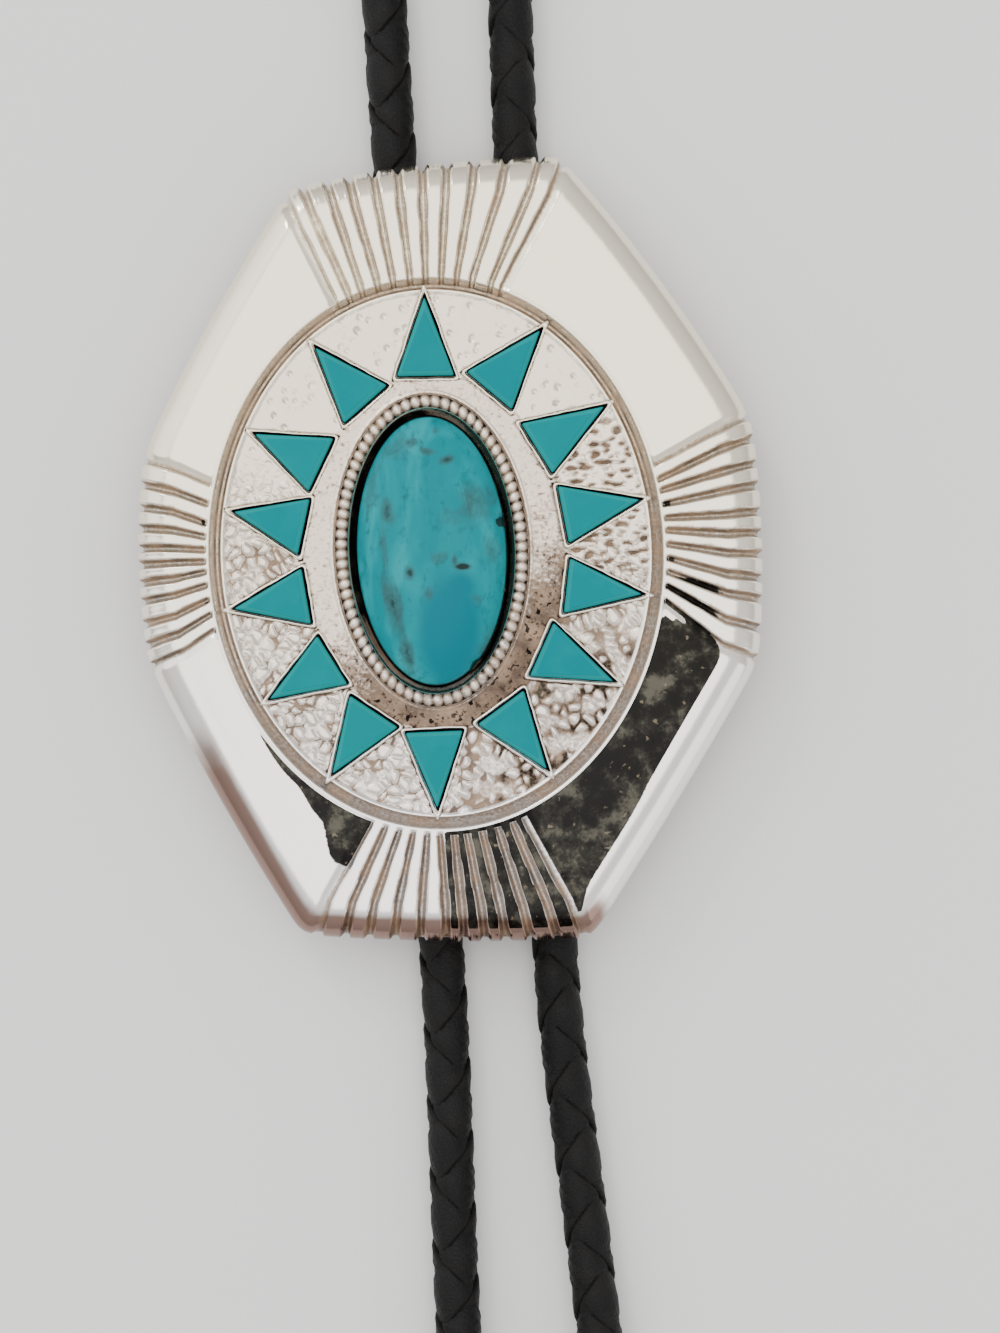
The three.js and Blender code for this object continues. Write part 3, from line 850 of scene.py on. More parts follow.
def frame_stain(clock, away, inset, panel):
    """How much of the dark patch at the lower right, and of the dark wedge at the lower left, a painted
    reflection, a place on the frame carries.
    """
    degrees = math.degrees(clock) % 360
    if 95 < degrees < 183:
        from_fan = math.radians(degrees - PATCH_SIDE) * (CHANNEL[0] + 2 + away)
        from_edge = inset - mix(*PATCH_INSET, smooth(158, 163, degrees))
        gap = min(from_fan, from_edge)
        if from_fan < PATCH_ROUND and from_edge < PATCH_ROUND:
            gap = PATCH_ROUND - math.hypot(PATCH_ROUND - from_fan, PATCH_ROUND - from_edge)
        here = smooth(-0.15, 0.25, gap) * smooth(0.12, 0.4, away)
        return here * (1 - smooth(*PATCH_END, degrees))
    # The dark wedge at the lower left is a painted reflection.
    if panel and 183 <= degrees < 252:
        reach = sum(width * smooth(start, end, degrees) for start, end, width in WEDGE)
        soft = 0.15 + 0.28 * reach
        wedge = (1 - smooth(reach - soft, reach + 0.1, away)) * smooth(0.35, 0.6, away)
        return wedge * smooth(252, 246, degrees)
    return 0.0


def groove_stain(clock, away, near):
    """Black in a few grooves, most of it beside the channel."""
    degrees = math.degrees(clock) % 360
    amount = 0.0
    for begin, full, fade, end, reach, gone, strength in GROOVE_BLACK:
        here = smooth(begin, full, degrees) * (1 - smooth(fade, end, degrees))
        amount = max(amount, strength * here * (1 - smooth(reach, gone, away)))
    if degrees < 96 or degrees > 200:
        amount *= smooth(-0.05, 0.25, noise.noise(Vector((degrees * 0.23, 4.0, 0.0))))
    return 0.85 * amount * (1 - smooth(0.6, 0.95, near))


def rosy_edge(clock, inset):
    """The painted pinkish reflection on the rolled edge at the foot and at the lower left."""
    degrees = math.degrees(clock) % 360
    side = smooth(196, 204, degrees) * smooth(242, 222, degrees) * smooth(3.3, 1.6, inset) * 0.9
    foot = smooth(154, 160, degrees) * smooth(206, 200, degrees) * smooth(2.9, 1.3, inset)
    return max(side, foot)


def lower_right(x, y, start=2, end=-12):
    """0 at the medallion's upper left and 1 at its lower right."""
    return smooth(start, end, y - 0.5 * x)


def nearest_groove(stops, place, away, row, grooves, half):
    """How deep a place is cut, how many half widths off the groove it is, and how far it lies towards the
    groove's side that faces away from the light at the upper left, where shade is painted.
    """
    cut = 0.0
    near = 9.0
    shade = 0.0
    for stop in stops:
        key = (stop["inner"], stop["outer"])
        if key not in grooves:
            grooves[key] = frame_point(stop["inner"], stop["outer"], row)[0].xy
        gap = (place.xy - grooves[key]).length
        wander = noise.noise(Vector((place.x * 0.5, place.y * 0.5, 7.0)))
        width = half * mix(0.82, 1.08, smooth(0.0, 8.0, away)) * (1 + 0.25 * wander)
        begun = smooth(stop["start"] - 0.1, stop["start"] + 0.2, away)
        cut = max(cut, begun * (1 - smooth(0.25, 1.0, gap / width)))
        apart = gap / width + 3 * (1 - begun)
        if apart < near:
            near = apart
            # The groove's wall towards the upper left faces away from the light and is the shaded side.
            shade = (place.xy - grooves[key]).dot(Vector((-0.7, 0.7))) / width
    return cut, near, shade


def frame_patina(row, place, away, near, shade, panel):
    """How brown the frame is: patina in its grooves and down in the channel, with painted shade on the side
    of each groove away from the light and beside the grooves of the fans.
    """
    # Brown patina in the groove, deeper on its shaded side as painted shade.
    patina_and_shade = mix(0.64, 0.98, smooth(0.1, 0.45, shade)) * (1 - smooth(0.75, 1.02, near))
    # Painted shade beside the grooves of the fans, on the side away from the light.
    if not panel:
        beside = smooth(2.1, 1.0, near) * smooth(0.1, 0.6, away)
        patina_and_shade = max(patina_and_shade, 0.5 * smooth(0.0, 0.6, shade) * beside)
    if place.y > 20:
        patina_and_shade *= 0.8
    if "oval" in row:
        low = lower_right(place.x, place.y)
        slope = mix(0.5, 0.66, low) * smooth(0.02, 0.12, row["oval"])
        patina_and_shade = max(patina_and_shade, mix(0.9, 0.7, low) if row["oval"] > 0.5 else slope)
    return patina_and_shade


def under_ring(columns, inset, height):
    """A plain ring on the slide's underside, inset from the outline."""
    ring = []
    for column in columns:
        reach = outline_reach(column["outer"], inset)
        x = reach * math.sin(column["outer"]) + MEDALLION[0]
        y = reach * math.cos(column["outer"]) + MEDALLION[1]
        ring.append((x, y, height, 0.35, 0.0, 0.8, 0.0))
    return ring


def frame_rings():
    """Rings from the channel's floor over the rolled edge to the back.

    Each point holds its place, how brown it is with patina and painted shade, how dark it is with dark
    patches and a painted dark reflection, how matt it is, and how much painted pinkish reflection it has.
    """
    sizes = bpy.context.scene.slide_sizes
    half = sizes.groove_width / MM / 2
    depth = sizes.groove_depth / MM
    columns = frame_columns(sizes.flute_columns)
    rings = []
    for row in frame_rows():
        grooves = {}
        ring = []
        for column in columns:
            place, out = frame_point(column["inner"], column["outer"], row)
            away = place.xy.length - oval_reach(math.atan2(place.x, place.y), CHANNEL)
            cut, near, shade = nearest_groove(column["near"], place, away, row, grooves, half)
            panel = column["share"] is None
            crown = 0.0 if panel else FLUTE_CROWN * (1 - (2 * column["share"] - 1) ** 2)
            crown *= smooth(0.0, 1.5, away)
            wave = 0.03 * noise.noise(Vector((place.x * 0.16, place.y * 0.16, 2.0)))
            lip = 0.05 * math.exp(-(((near - 1.2) / 0.22) ** 2)) * smooth(0.2, 1.0, away)
            place = place + out * (crown + lip + wave * smooth(0, 3, away) - depth * cut)
            clock = math.atan2(place.x, place.y)
            inset = outline_reach(clock, 0) - place.xy.length
            # Brown patina, with painted shade on the groove sides away from the light.
            patina_and_shade = frame_patina(row, place, away, near, shade, panel)
            # The dark patch at the lower right, the dark wedge at the lower left, a painted reflection, and
            # black in some grooves.
            dark_share = frame_stain(clock, away, inset, panel)
            if not panel:
                dark_share *= smooth(0.95, 1.15, near)
            dark_share = max(dark_share, groove_stain(clock, away, near))
            x = place.x + MEDALLION[0]
            y = place.y + MEDALLION[1]
            # The last number is the painted pinkish reflection on the edge.
            ring.append((x, y, place.z, patina_and_shade, dark_share, 0.0, rosy_edge(clock, inset)))
        rings.append(ring)
    for inset, height in (
        (0.2, RIM_BOTTOM),
        (RIM_WIDTH - 0.15, RIM_BOTTOM),
        (RIM_WIDTH, RIM_BOTTOM + 0.15),
        (RIM_WIDTH + RIM_SLOPE, BACK),
        (RIM_WIDTH + RIM_SLOPE + 6, BACK),
    ):
        rings.append(under_ring(columns, inset, height))
    return rings


def ring_mesh(rings, top, bottom, carried):
    """A closed mesh through rings of equal count, filled to a point at both ends."""
    bm = bmesh.new()
    for name in carried:
        bm.verts.layers.float.new(name)
    layers = [bm.verts.layers.float[name] for name in carried]

    def settle(verts, ring):
        for vert, (x, y, z, *values) in zip(verts, ring):
            vert.co = (x * MM, y * MM, z * MM)
            for layer, value in zip(layers, values):
                vert[layer] = value

    made = bmesh.ops.create_circle(bm, segments=len(rings[0]), radius=1.0, cap_ends=False)
    first = list(made["verts"])
    settle(first, rings[0])
    current = first
    for ring in rings[1:]:
        current = pulled_on(bm, current)
        settle(current, ring)
    for verts, point in ((first, top), (current, bottom)):
        tip = pulled_on(bm, verts)
        settle(tip, [point] * len(tip))
        bmesh.ops.pointmerge(bm, verts=tip, merge_co=Vector(point[:3]) * MM)
    bmesh.ops.recalc_face_normals(bm, faces=bm.faces)
    return bm


def ring_piece(name, rings, top, bottom, carried=("patina_and_shade", "stain_shadow_and_reflection", "satin")):
    return finished(name, ring_mesh(rings, top, bottom, carried))


def pulled_on(bm, verts):
    """Extrudes a closed ring of vertices and gives the new ring in the same order."""
    ring = [bm.edges.get((verts[i - 1], verts[i])) for i in range(len(verts))]
    made = bmesh.ops.extrude_edge_only(bm, edges=ring)["geom"]
    fresh = {item for item in made if isinstance(item, bmesh.types.BMVert)}
    return [
        next(edge.other_vert(vert) for edge in vert.link_edges if edge.other_vert(vert) in fresh)
        for vert in verts
    ]


def finished(name, bm, shade=True):
    """Makes the bmesh a linked object."""
    mesh = bpy.data.meshes.new(name)
    bm.to_mesh(mesh)
    bm.free()
    piece = bpy.data.objects.new(name, mesh)
    bpy.context.scene.collection.objects.link(piece)
    if shade:
        mesh.polygons.foreach_set("use_smooth", [True] * len(mesh.polygons))
    return piece


def shown(piece, finish, slot, *nodes):
    """Gives a piece its finish, hides the solids that it stands for and puts it under its body; the slot is
    not used.
    """
    piece.data.materials.clear()
    piece.data.materials.append(finish)
    if nodes:
        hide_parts(*nodes)
    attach(piece, "root")


def material(maker, *arguments):
    """The material that a maker gives, made once."""
    name = arguments[0] if arguments else maker.__name__
    return bpy.data.materials.get(name) or maker(*arguments)


# Medallion


def oval_walk(oval, count, fine=4000):
    """Angles that step evenly round an oval, found on so many fine steps."""
    lengths = [0.0]
    last = Vector((0.0, oval[1]))
    for step in range(1, fine + 1):
        angle = step / fine * 2 * math.pi
        here = Vector((oval[0] * math.sin(angle), oval[1] * math.cos(angle)))
        lengths.append(lengths[-1] + (here - last).length)
        last = here
    angles = []
    place = 0
    for index in range(count):
        goal = lengths[-1] * index / count
        while lengths[place] < goal:
            place += 1
        angles.append(place / fine * 2 * math.pi)
    return angles


def oval_places(angles, oval, middle=SEAT_CENTRE):
    return [(middle[0] + oval[0] * math.sin(a), middle[1] + oval[1] * math.cos(a)) for a in angles]


def stone_outline(stone, grow):
    """Corners of a triangular stone grown by so many millimetres, clockwise from the tip."""
    _, station, out, aim, base, reach = stone
    middle = Vector((
        MEDALLION[0] + RING[0] * out * math.sin(math.radians(station)),
        MEDALLION[1] + RING[1] * out * math.cos(math.radians(station)),
    ))
    ahead = Vector((math.sin(math.radians(aim)), math.cos(math.radians(aim))))
    side = Vector((ahead.y, -ahead.x))
    half = STONE_BASE * base / 2
    height = STONE_REACH * reach
    wider = grow * math.hypot(half, height) / height
    tip = height + wider * height / half
    spread = side * (half + wider * (1 + grow / height))
    return [middle + ahead * tip, middle + spread - ahead * grow, middle - spread - ahead * grow]


def stone_middle(stone):
    return sum(stone_outline(stone, 0), Vector((0, 0))) / 3


def reach_into(corners, x, y):
    """How far a place lies inside a triangle; negative outside."""
    inside = 99.0
    for index, here in enumerate(corners):
        after = corners[(index + 1) % 3]
        along = after - here
        normal = Vector((along.y, -along.x)).normalized()
        inside = min(inside, (Vector((x, y)) - here).dot(normal))
    return inside


def hammered(x, y, size):
    """Height of the hammered field, 0 in the gaps and 1 on a mark, and how brown and black it is.

    The upper part has round pits, the lower part raised marks, the right side dashes as well, and
    the lower right the darkest gaps. The brown and black in the pits and gaps are partly patina and
    partly painted shade.
    """
    lower = smooth(10.0, -7.0, y + 0.25 * x)
    cell = size * mix(0.85, 1.1, lower)
    warp = noise.noise_vector(Vector((x * 0.7, y * 0.7, 4.0))) * 0.3
    clock = math.atan2(x - MEDALLION[0], y - MEDALLION[1])
    away = math.hypot(x - MEDALLION[0], y - MEDALLION[1])
    place = Vector(((x + warp.x) / cell, (y + warp.y) / cell, clock * 0.2 + away * 0.05))
    distances, points = noise.voronoi(place)
    gap = distances[1] - distances[0]
    own = noise.noise(points[0] * 3.1) * 0.5 + 0.5
    damp = smooth(-2, 5, x) * smooth(-4, -13, y)
    mark = smooth(0.12 * damp, mix(0.45, 0.6, damp), gap) ** 0.7 * mix(0.5, 1.0, own)
    pit = (1 - smooth(0.0, 0.5, distances[0])) * smooth(0.36, 0.62, own)
    uneven = mix(0.5, 1.0, smooth(-0.3, 0.25, noise.noise(place * 0.6)))
    crack = (1 - smooth(0.1 * damp, mix(0.3, 0.5, damp), gap)) ** mix(1.4, 0.9, damp) * uneven
    height = mix(1.0 - 0.75 * pit, mark, mix(0.15, 1.0, lower))
    right = smooth(7, 12, x) * smooth(-7, -1, y) * smooth(15, 10, y)
    dash = right * smooth(0.1, 0.35, noise.noise(Vector((x * 0.9, y * 2.2, 21.0))))
    height -= 0.9 * dash
    crack *= mix(0.1 + 0.5 * right, 1.0, lower)
    # Dark in the gaps and pits: partly patina, partly painted shade.
    dark = max(crack, pit * mix(0.5 + 0.4 * right, 0.0, lower), dash)
    return height, dark, dark * damp


def ring_grime(x, y):
    """Unevenness, pits, brown and black of the flat ring, most of them at its lower right."""
    grit = noise.noise(Vector((x * 2.6, y * 2.6, 1.0))) + 0.6 * noise.noise(Vector((x * 6, y * 6, 5.0)))
    low = lower_right(x, y, 3, -17)
    patch = noise.noise(Vector((x * 0.4, y * 0.4, 9.0))) * 0.5 + 0.5
    dirt = mix(0.22, 1.05, smooth(0.08, 1.12, 0.8 * low + 0.35 * patch)) - 0.24 * grit
    pit = smooth(mix(0.3, 0.08, low), mix(0.6, 0.42, low), noise.noise(Vector((x * 1.7, y * 1.7, 12.0))))
    return grit, pit, max(dirt, 0.6 * pit), 0.58 * pit * smooth(0.35, 0.75, low)


def seat_rings(angles):
    """The cabochon's seat, with its shaded wall painted black and brown as painted shadow, and the black gap
    beside the stone, also a painted shadow.
    """
    rings = []
    for out, deep, lit in SEAT_SECTION:
        ring = []
        for x, y in oval_places(angles, grown(SEAT, out)):
            across = (x - SEAT_CENTRE[0]) / SEAT[0]
            along = (y - SEAT_CENTRE[1]) / SEAT[1]
            clock = math.degrees(math.atan2(across, along)) % 360
            shade = along_table(SEAT_SHADE, clock)
            gap = along_table(SEAT_GAPS, clock)
            rise = mix(mix(lit, deep, shade), deep - 0.3, smooth(gap + 0.1, gap - 0.08, out))
            # Painted shadow: black on the shaded wall, in the gap beside the stone and under the stone's
            # edge.
            black = max(shade * smooth(0.0, -0.25, rise), smooth(gap + 0.06, gap - 0.08, out))
            # Brown on the wall, and more of it where the wall is in shade, as painted shade.
            brown = mix(smooth(0.5, 0.0, out) * along_table(SEAT_BROWN, clock), 0.9, shade)
            brown *= smooth(0.2, -0.1, rise)
            ring.append((x, y, FACE + rise, brown, max(smooth(-0.16, -0.28, out), black), 0.2))
        rings.append(ring)
    return rings


def bead_rings(angles):
    """The bezel: a row of slightly uneven beads, with brown and black between them that is partly patina and
    partly painted shade.
    """
    rings = []
    for row in range(BEAD_ROWS):
        out = row * BEZEL_WIDTH / (BEAD_ROWS - 1)
        across = (out - BEZEL_WIDTH / 2) / BEAD_RADIUS
        ring = []
        for index, (x, y) in enumerate(oval_places(angles, grown(BEZEL, out))):
            along = ((index % PER_BEAD) / PER_BEAD + 0.05 * across + 0.5) % 1.0 - 0.5
            size = 1 + 0.12 * noise.noise(Vector((index // PER_BEAD * 1.7, 0, 3.0)))
            round_off = 1 - (along / 0.52) ** 2 - (across / size) ** 2
            rise = BEAD_RISE * math.sqrt(max(0.0, round_off))
            # Brown low between the beads and black where they are lowest: partly patina, partly painted
            # shade.
            brown = max(0.72 * smooth(0.54, 0.2, rise), 0.5 * ring_grime(x, y)[2])
            ring.append((x, y, RING_TOP + 0.3 + rise, brown, 0.55 * smooth(0.14, 0.0, rise), 0.6))
        rings.append(ring)
    return rings


def ledge_rings(angles):
    """The ledge from the beads down to the flat ring, with a brown line along it."""
    rings = []
    for out, rise, line in LEDGE_SECTION:
        ring = []
        for x, y in oval_places(angles, grown(BEZEL, out)):
            _, _, brown, black = ring_grime(x, y)
            brown = max(line, brown * smooth(1.38, 1.62, out))
            ring.append((x, y, RING_TOP + rise, brown, black * smooth(1.5, 1.7, out), 0.5))
        rings.append(ring)
    return rings


def flat_rings(angles):
    """The flat ring between the bezel and the stones."""
    inner = grown(BEZEL, LEDGE_SECTION[-1][0])
    rings = []
    for row in range(1, FLAT_ROWS + 1):
        share = row / FLAT_ROWS
        oval = [mix(*ends, share) for ends in zip(inner, RING)]
        middle = [mix(*ends, share) for ends in zip(SEAT_CENTRE, MEDALLION)]
        ring = []
        for x, y in oval_places(angles, oval, middle):
            grit, pit, brown, black = ring_grime(x, y)
            ring.append((x, y, RING_TOP + 0.04 * grit - 0.05 * pit, brown, black, 0.8))
        rings.append(ring)
    return rings


def field_rings(angles, size):
    """The hammered field round the stones, up to the bright lip beside the channel."""
    rings = []
    for row in range(1, FIELD_ROWS + 1):
        share = row / FIELD_ROWS
        begun = smooth(0.0, 0.05, share)
        lip = smooth(0.955, 0.985, share)
        ring = []
        for x, y in oval_places(angles, [mix(*ends, share) for ends in zip(RING, FIELD)], MEDALLION):
            mark, brown, black = hammered(x, y, size)
            z = mix(FACE - 0.62 + 0.44 * mark * begun, FACE - 0.05, max(lip, 1 - begun))
            # Brown and black in the field's gaps and pits, partly patina and partly painted shade.
            ring.append((x, y, z, brown * (1 - lip), 0.52 * black * (1 - lip), 0.5 * (1 - lip)))
        rings.append(ring)
    return rings


def channel_rings(angles):
    """The channel's inner side, browner at the lower right, and its floor."""
    rings = []
    for out, rise, patina_and_shade in CHANNEL_WALL:
        ring = []
        for x, y in oval_places(angles, grown(FIELD, out), MEDALLION):
            ring.append((x, y, FACE + rise, mix(patina_and_shade, 0.66, lower_right(x, y)), 0.0, 0.3))
        rings.append(ring)
    floor = oval_places(angles, grown(FIELD, 0.4), MEDALLION)
    rings.append([(x, y, FACE - 1.75, 0.5, 0.0, 0.5) for x, y in floor])
    return rings


def sunk_under_stones(rings):
    """The same rings, lowered where the stones' cells stand and blackened there as painted shadow under the
    stones.
    """
    cells = [stone_outline(stone, SEAT_GAP + CELL_WALL / 2) for stone in STONES]
    for ring in rings:
        for index, (x, y, z, _, _, satin) in enumerate(ring):
            for corners in cells:
                inside = reach_into(corners, x, y)
                if inside > -0.1:
                    ring[index] = (x, y, mix(z, CELL_FLOOR, smooth(-0.1, 0.1, inside)), 1.0, 0.6, satin)
                    break
    return rings


def medallion_rings():
    """Rings from the cabochon's seat out to the channel's floor.

    Each point holds its place, how brown it is with patina and painted shade, how black it is with grime
    and painted shadow, and how matt it is.
    """
    size = bpy.context.scene.slide_sizes.hammer_size / MM
    angles = oval_walk(grown(BEZEL, BEZEL_WIDTH / 2), BEADS * PER_BEAD)
    top = ledge_rings(angles) + flat_rings(angles) + field_rings(angles, size)
    return seat_rings(angles) + bead_rings(angles) + sunk_under_stones(top) + channel_rings(angles)


class OBJECT_OT_slide_frame(bpy.types.Operator):
    """Model the fluted eight-sided frame of the slide"""

    bl_idname = "object.slide_frame"
    bl_label = "Slide frame"

    def execute(self, context):
        top = (*MEDALLION, FACE - 1.9, 1, 0, 0, 0)
        bottom = (*MEDALLION, BACK, 0.35, 0, 0.8, 0)
        carried = ("patina_and_shade", "stain_shadow_and_reflection", "satin", "pink_reflection")
        piece = ring_piece("slide_frame", frame_rings(), top, bottom, carried)
        shown(piece, material(cast_silver), "cast_metal", "slide_plate")
        return {"FINISHED"}


class OBJECT_OT_slide_medallion(bpy.types.Operator):
    """Model the hammered medallion with its beaded bezel"""

    bl_idname = "object.slide_medallion"
    bl_label = "Medallion"

    def execute(self, context):
        # The seat's floor under the cabochon is black, a painted shadow.
        top = (*SEAT_CENTRE, FACE - 1.3, 1, 1, 0)
        bottom = (*SEAT_CENTRE, FACE - 1.75, 1, 0, 0)
        piece = ring_piece("slide_medallion", medallion_rings(), top, bottom)
        shown(piece, material(cast_silver), "cast_metal")
        return {"FINISHED"}


def stone_ring(stone, grow, z, rounding, *carried):
    """A triangular ring with rounded corners, clockwise from the tip, 7 points round each corner."""
    corners = stone_outline(stone, grow)
    ring = []
    for index, corner in enumerate(corners):
        before = corners[index - 1]
        after = corners[(index + 1) % 3]
        start = corner + (before - corner).normalized() * rounding
        end = corner + (after - corner).normalized() * rounding
        for step in range(7):
            share = step / 6
            place = start.lerp(corner, share).lerp(corner.lerp(end, share), share)
            ring.append((place.x, place.y, z, *carried))
        far = after + (corner - after).normalized() * rounding
        for step in range(1, 12):
            place = end.lerp(far, step / 12)
            ring.append((place.x, place.y, z, *carried))
    return ring


def joined(name, shells):
    """One piece from several closed shells."""
    bm = bmesh.new()
    for shell in shells:
        mesh = bpy.data.meshes.new("shell")
        shell.to_mesh(mesh)
        shell.free()
        bm.from_mesh(mesh)
        bpy.data.meshes.remove(mesh)
    return finished(name, bm)


def cell_shell(stone):
    """The seat of one stone: a thin wall that stands a little proud, and its floor, with brown and black low
    on the wall and in the gap beside the stone as painted shadow.
    """
    outer = SEAT_GAP + CELL_WALL
    middle = stone_middle(stone)
    proud = smooth(-3.0, -12.0, middle.y)
    crest = mix(-0.22, 0.03, proud)
    # Brown and black low on the wall and in the gap beside the stone are painted shadow.
    section = (
        (outer, -1.4, 0.9),
        (outer, -0.6, 0.9),
        (outer - 0.02, -0.32, 0.6),
        (outer - 0.06, mix(-0.26, -0.08, proud), 0.1),
        (outer - 0.14, crest, 0.0),
        (outer - 0.26, crest, 0.0),
        (SEAT_GAP + 0.04, mix(-0.26, -0.02, proud), 0.2),
        (SEAT_GAP - 0.08, mix(-0.36, -0.14, proud), 0.9),
        (SEAT_GAP - 0.1, -1.25, 1.0),
    )
    rings = []
    for grow, rise, patina_and_shade in section:
        ring = []
        for x, y, z in stone_ring(stone, grow, FACE + rise, 0.35 + grow * 0.5):
            wander = noise.noise_vector(Vector((x * 0.9, y * 0.9, 3.0)))
            lift = 0.06 * wander.z if rise > -0.4 else 0.0
            shift = 0.12 if grow < outer - 0.3 else 0.0
            x += shift + 0.07 * wander.x
            y += shift + 0.07 * wander.y
            ring.append((x, y, z + lift, patina_and_shade, smooth(0.5, 1.0, patina_and_shade), 0.2))
        rings.append(ring)
    top = (*middle, FACE - 1.4, 0.9, 1.0, 0.1)
    bottom = (*middle, FACE - 1.25, 1.0, 1.0, 0.1)
    return ring_mesh(rings, top, bottom, ("patina_and_shade", "stain_shadow_and_reflection", "satin"))


class OBJECT_OT_stone_cells(bpy.types.Operator):
    """Model the thin raised walls round the triangular stones"""

    bl_idname = "object.stone_cells"
    bl_label = "Stone cells"

    def execute(self, context):
        piece = joined("stone_cells", [cell_shell(stone) for stone in STONES])
        shown(piece, material(cast_silver), "cast_metal")
        return {"FINISHED"}


class OBJECT_OT_inlay_stones(bpy.types.Operator):
    """Model the fourteen flat triangular stones"""

    bl_idname = "object.inlay_stones"
    bl_label = "Triangular stones"

    def execute(self, context):
        for number, stone in enumerate(STONES):
            tone = noise.noise(Vector((number * 2.3, 1.0, 1.0))) * 0.5 + 0.5
            rings = []
            for grow, z, edge in STONE_SECTION:
                ring = []
                for x, y, height in stone_ring(stone, grow, z, 0.3):
                    sway = 0.05 * noise.noise(Vector((x * 0.6, y * 0.6, 6.0)))
                    ring.append((x, y, height + sway, edge, tone))
                rings.append(ring)
            middle = stone_middle(stone)
            foot = (*middle, STONE_FOOT, 1.0, tone)
            table = (*middle, STONE_TABLE, 0.0, tone)
            piece = ring_piece(stone[0] + "_inlay", rings, foot, table, ("edge", "tone"))
            shown(piece, material(inlay_turquoise), "inlay_stone", stone[0])
        return {"FINISHED"}


def patch_at(across, along, patch):
    """Strength of a soft oval patch at a place on the cabochon."""
    middle_across, middle_along, wide, tall, lean, strength = patch
    v = along - middle_along
    u = across - middle_across - lean * v
    return strength * math.exp(-((u / wide) ** 2) - (v / tall) ** 2)


def cabochon_ring(share, z, edge):
    """A ring of the cabochon at a share of its size, with its chips, its murk and its deep teal, and very
    dark at its foot, a painted shadow.
    """
    ring = []
    for step in range(CABOCHON_COLUMNS):
        angle = step / CABOCHON_COLUMNS * 2 * math.pi
        across = share * math.sin(angle)
        along = share * math.cos(angle)
        x = SEAT_CENTRE[0] + CABOCHON[0] * across
        y = SEAT_CENTRE[1] + CABOCHON[1] * along
        sunk = 0.0
        for chip, depth, reach in CHIPS:
            gap = math.hypot(x - chip[0], y - chip[1]) / reach
            sunk = max(sunk, depth * (1 - smooth(0.45, 1.0, gap)))
        swell = 0.06 * noise.noise(Vector((x * 0.3, y * 0.3, 8.0)))
        murk = max(patch_at(across, along, patch) for patch in MURKY_PATCHES)
        deep = max(patch_at(across, along, patch) for patch in DEEP_PATCHES)
        # Dark at the foot, a painted shadow, and in the chips.
        dark = max(edge, smooth(0.0, 0.3, sunk))
        ring.append((x, y, z - sunk + swell * (1 - edge), dark, murk, deep))
    return ring


class OBJECT_OT_cabochon(bpy.types.Operator):
    """Model the domed oval cabochon"""

    bl_idname = "object.cabochon_stone"
    bl_label = "Cabochon"

    def execute(self, context):
        dome = context.scene.stone_sizes.dome_height / MM
        rings = []
        for row in range(1, DOME_ROWS + 1):
            share = row / DOME_ROWS
            rise = dome * (1 - share ** 2.3) ** 0.62
            rings.append(cabochon_ring(share, CABOCHON_EDGE + rise, smooth(0.975, 1.0, share)))
        # The foot below the dome's edge is painted very dark, a painted shadow.
        for drop in (0.25, 0.55, 0.8):
            rings.append(cabochon_ring(1.0, CABOCHON_EDGE - drop, 1.0))
        top = (*SEAT_CENTRE, CABOCHON_EDGE + dome, 0.0, 0.0, 0.2)
        bottom = (*SEAT_CENTRE, CABOCHON_FOOT, 1.0, 0.0, 0.0)
        piece = ring_piece("cabochon_dome", rings, top, bottom, ("edge", "murk", "deep"))
        shown(piece, material(matrix_turquoise), "cabochon_stone", "cabochon")
        return {"FINISHED"}


# Cord


def route_points():
    """The cord's middle line in metres, on the same spline as the solid."""
    knots = [Vector(point) * MM for point in CORD_ROUTE]
    knots.insert(0, knots[0] * 2 - knots[1])
    knots.append(knots[-1] * 2 - knots[-2])
    line = []
    for index in range(1, len(knots) - 2):
        a, b, c, d = knots[index - 1 : index + 3]
        before, here, after = ((end - start).length ** 0.5 for start, end in ((a, b), (b, c), (c, d)))
        leave = ((b - a) / before - (c - a) / (before + here) + (c - b) / here) * here
        reach = ((c - b) / here - (d - b) / (here + after) + (d - c) / after) * here
        for step in range(ROUTE_STEPS):
            t = step / ROUTE_STEPS
            line.append(
                b * (2 * t ** 3 - 3 * t ** 2 + 1) + leave * (t ** 3 - 2 * t ** 2 + t)
                + c * (3 * t ** 2 - 2 * t ** 3) + reach * (t ** 3 - t ** 2)
            )
    line.append(knots[-2])
    return line


class Route:
    """A smooth line that gives its place and directions at any length along it."""

    def __init__(self, points):
        self.points = points
        self.lengths = [0.0]
        for here, after in zip(points, points[1:]):
            self.lengths.append(self.lengths[-1] + (after - here).length)
        self.total = self.lengths[-1]
        self.heading = []
        for index in range(len(points)):
            before = points[max(0, index - 1)]
            after = points[min(len(points) - 1, index + 1)]
            self.heading.append((after - before).normalized())
        self.last = 0

    def at(self, length):
        """The place at a length along the line, and the directions to its side and up."""
        length = min(self.total, max(0.0, length))
        place = self.last
        while place > 0 and self.lengths[place] > length:
            place -= 1
        while place < len(self.points) - 2 and self.lengths[place + 1] < length:
            place += 1
        self.last = place
        share = (length - self.lengths[place]) / (self.lengths[place + 1] - self.lengths[place])
        point = self.points[place].lerp(self.points[place + 1], share)
        ahead = self.heading[place].lerp(self.heading[place + 1], share).normalized()
        side = ahead.cross(Vector((0, 0, 1))).normalized()
        return point, side, side.cross(ahead)


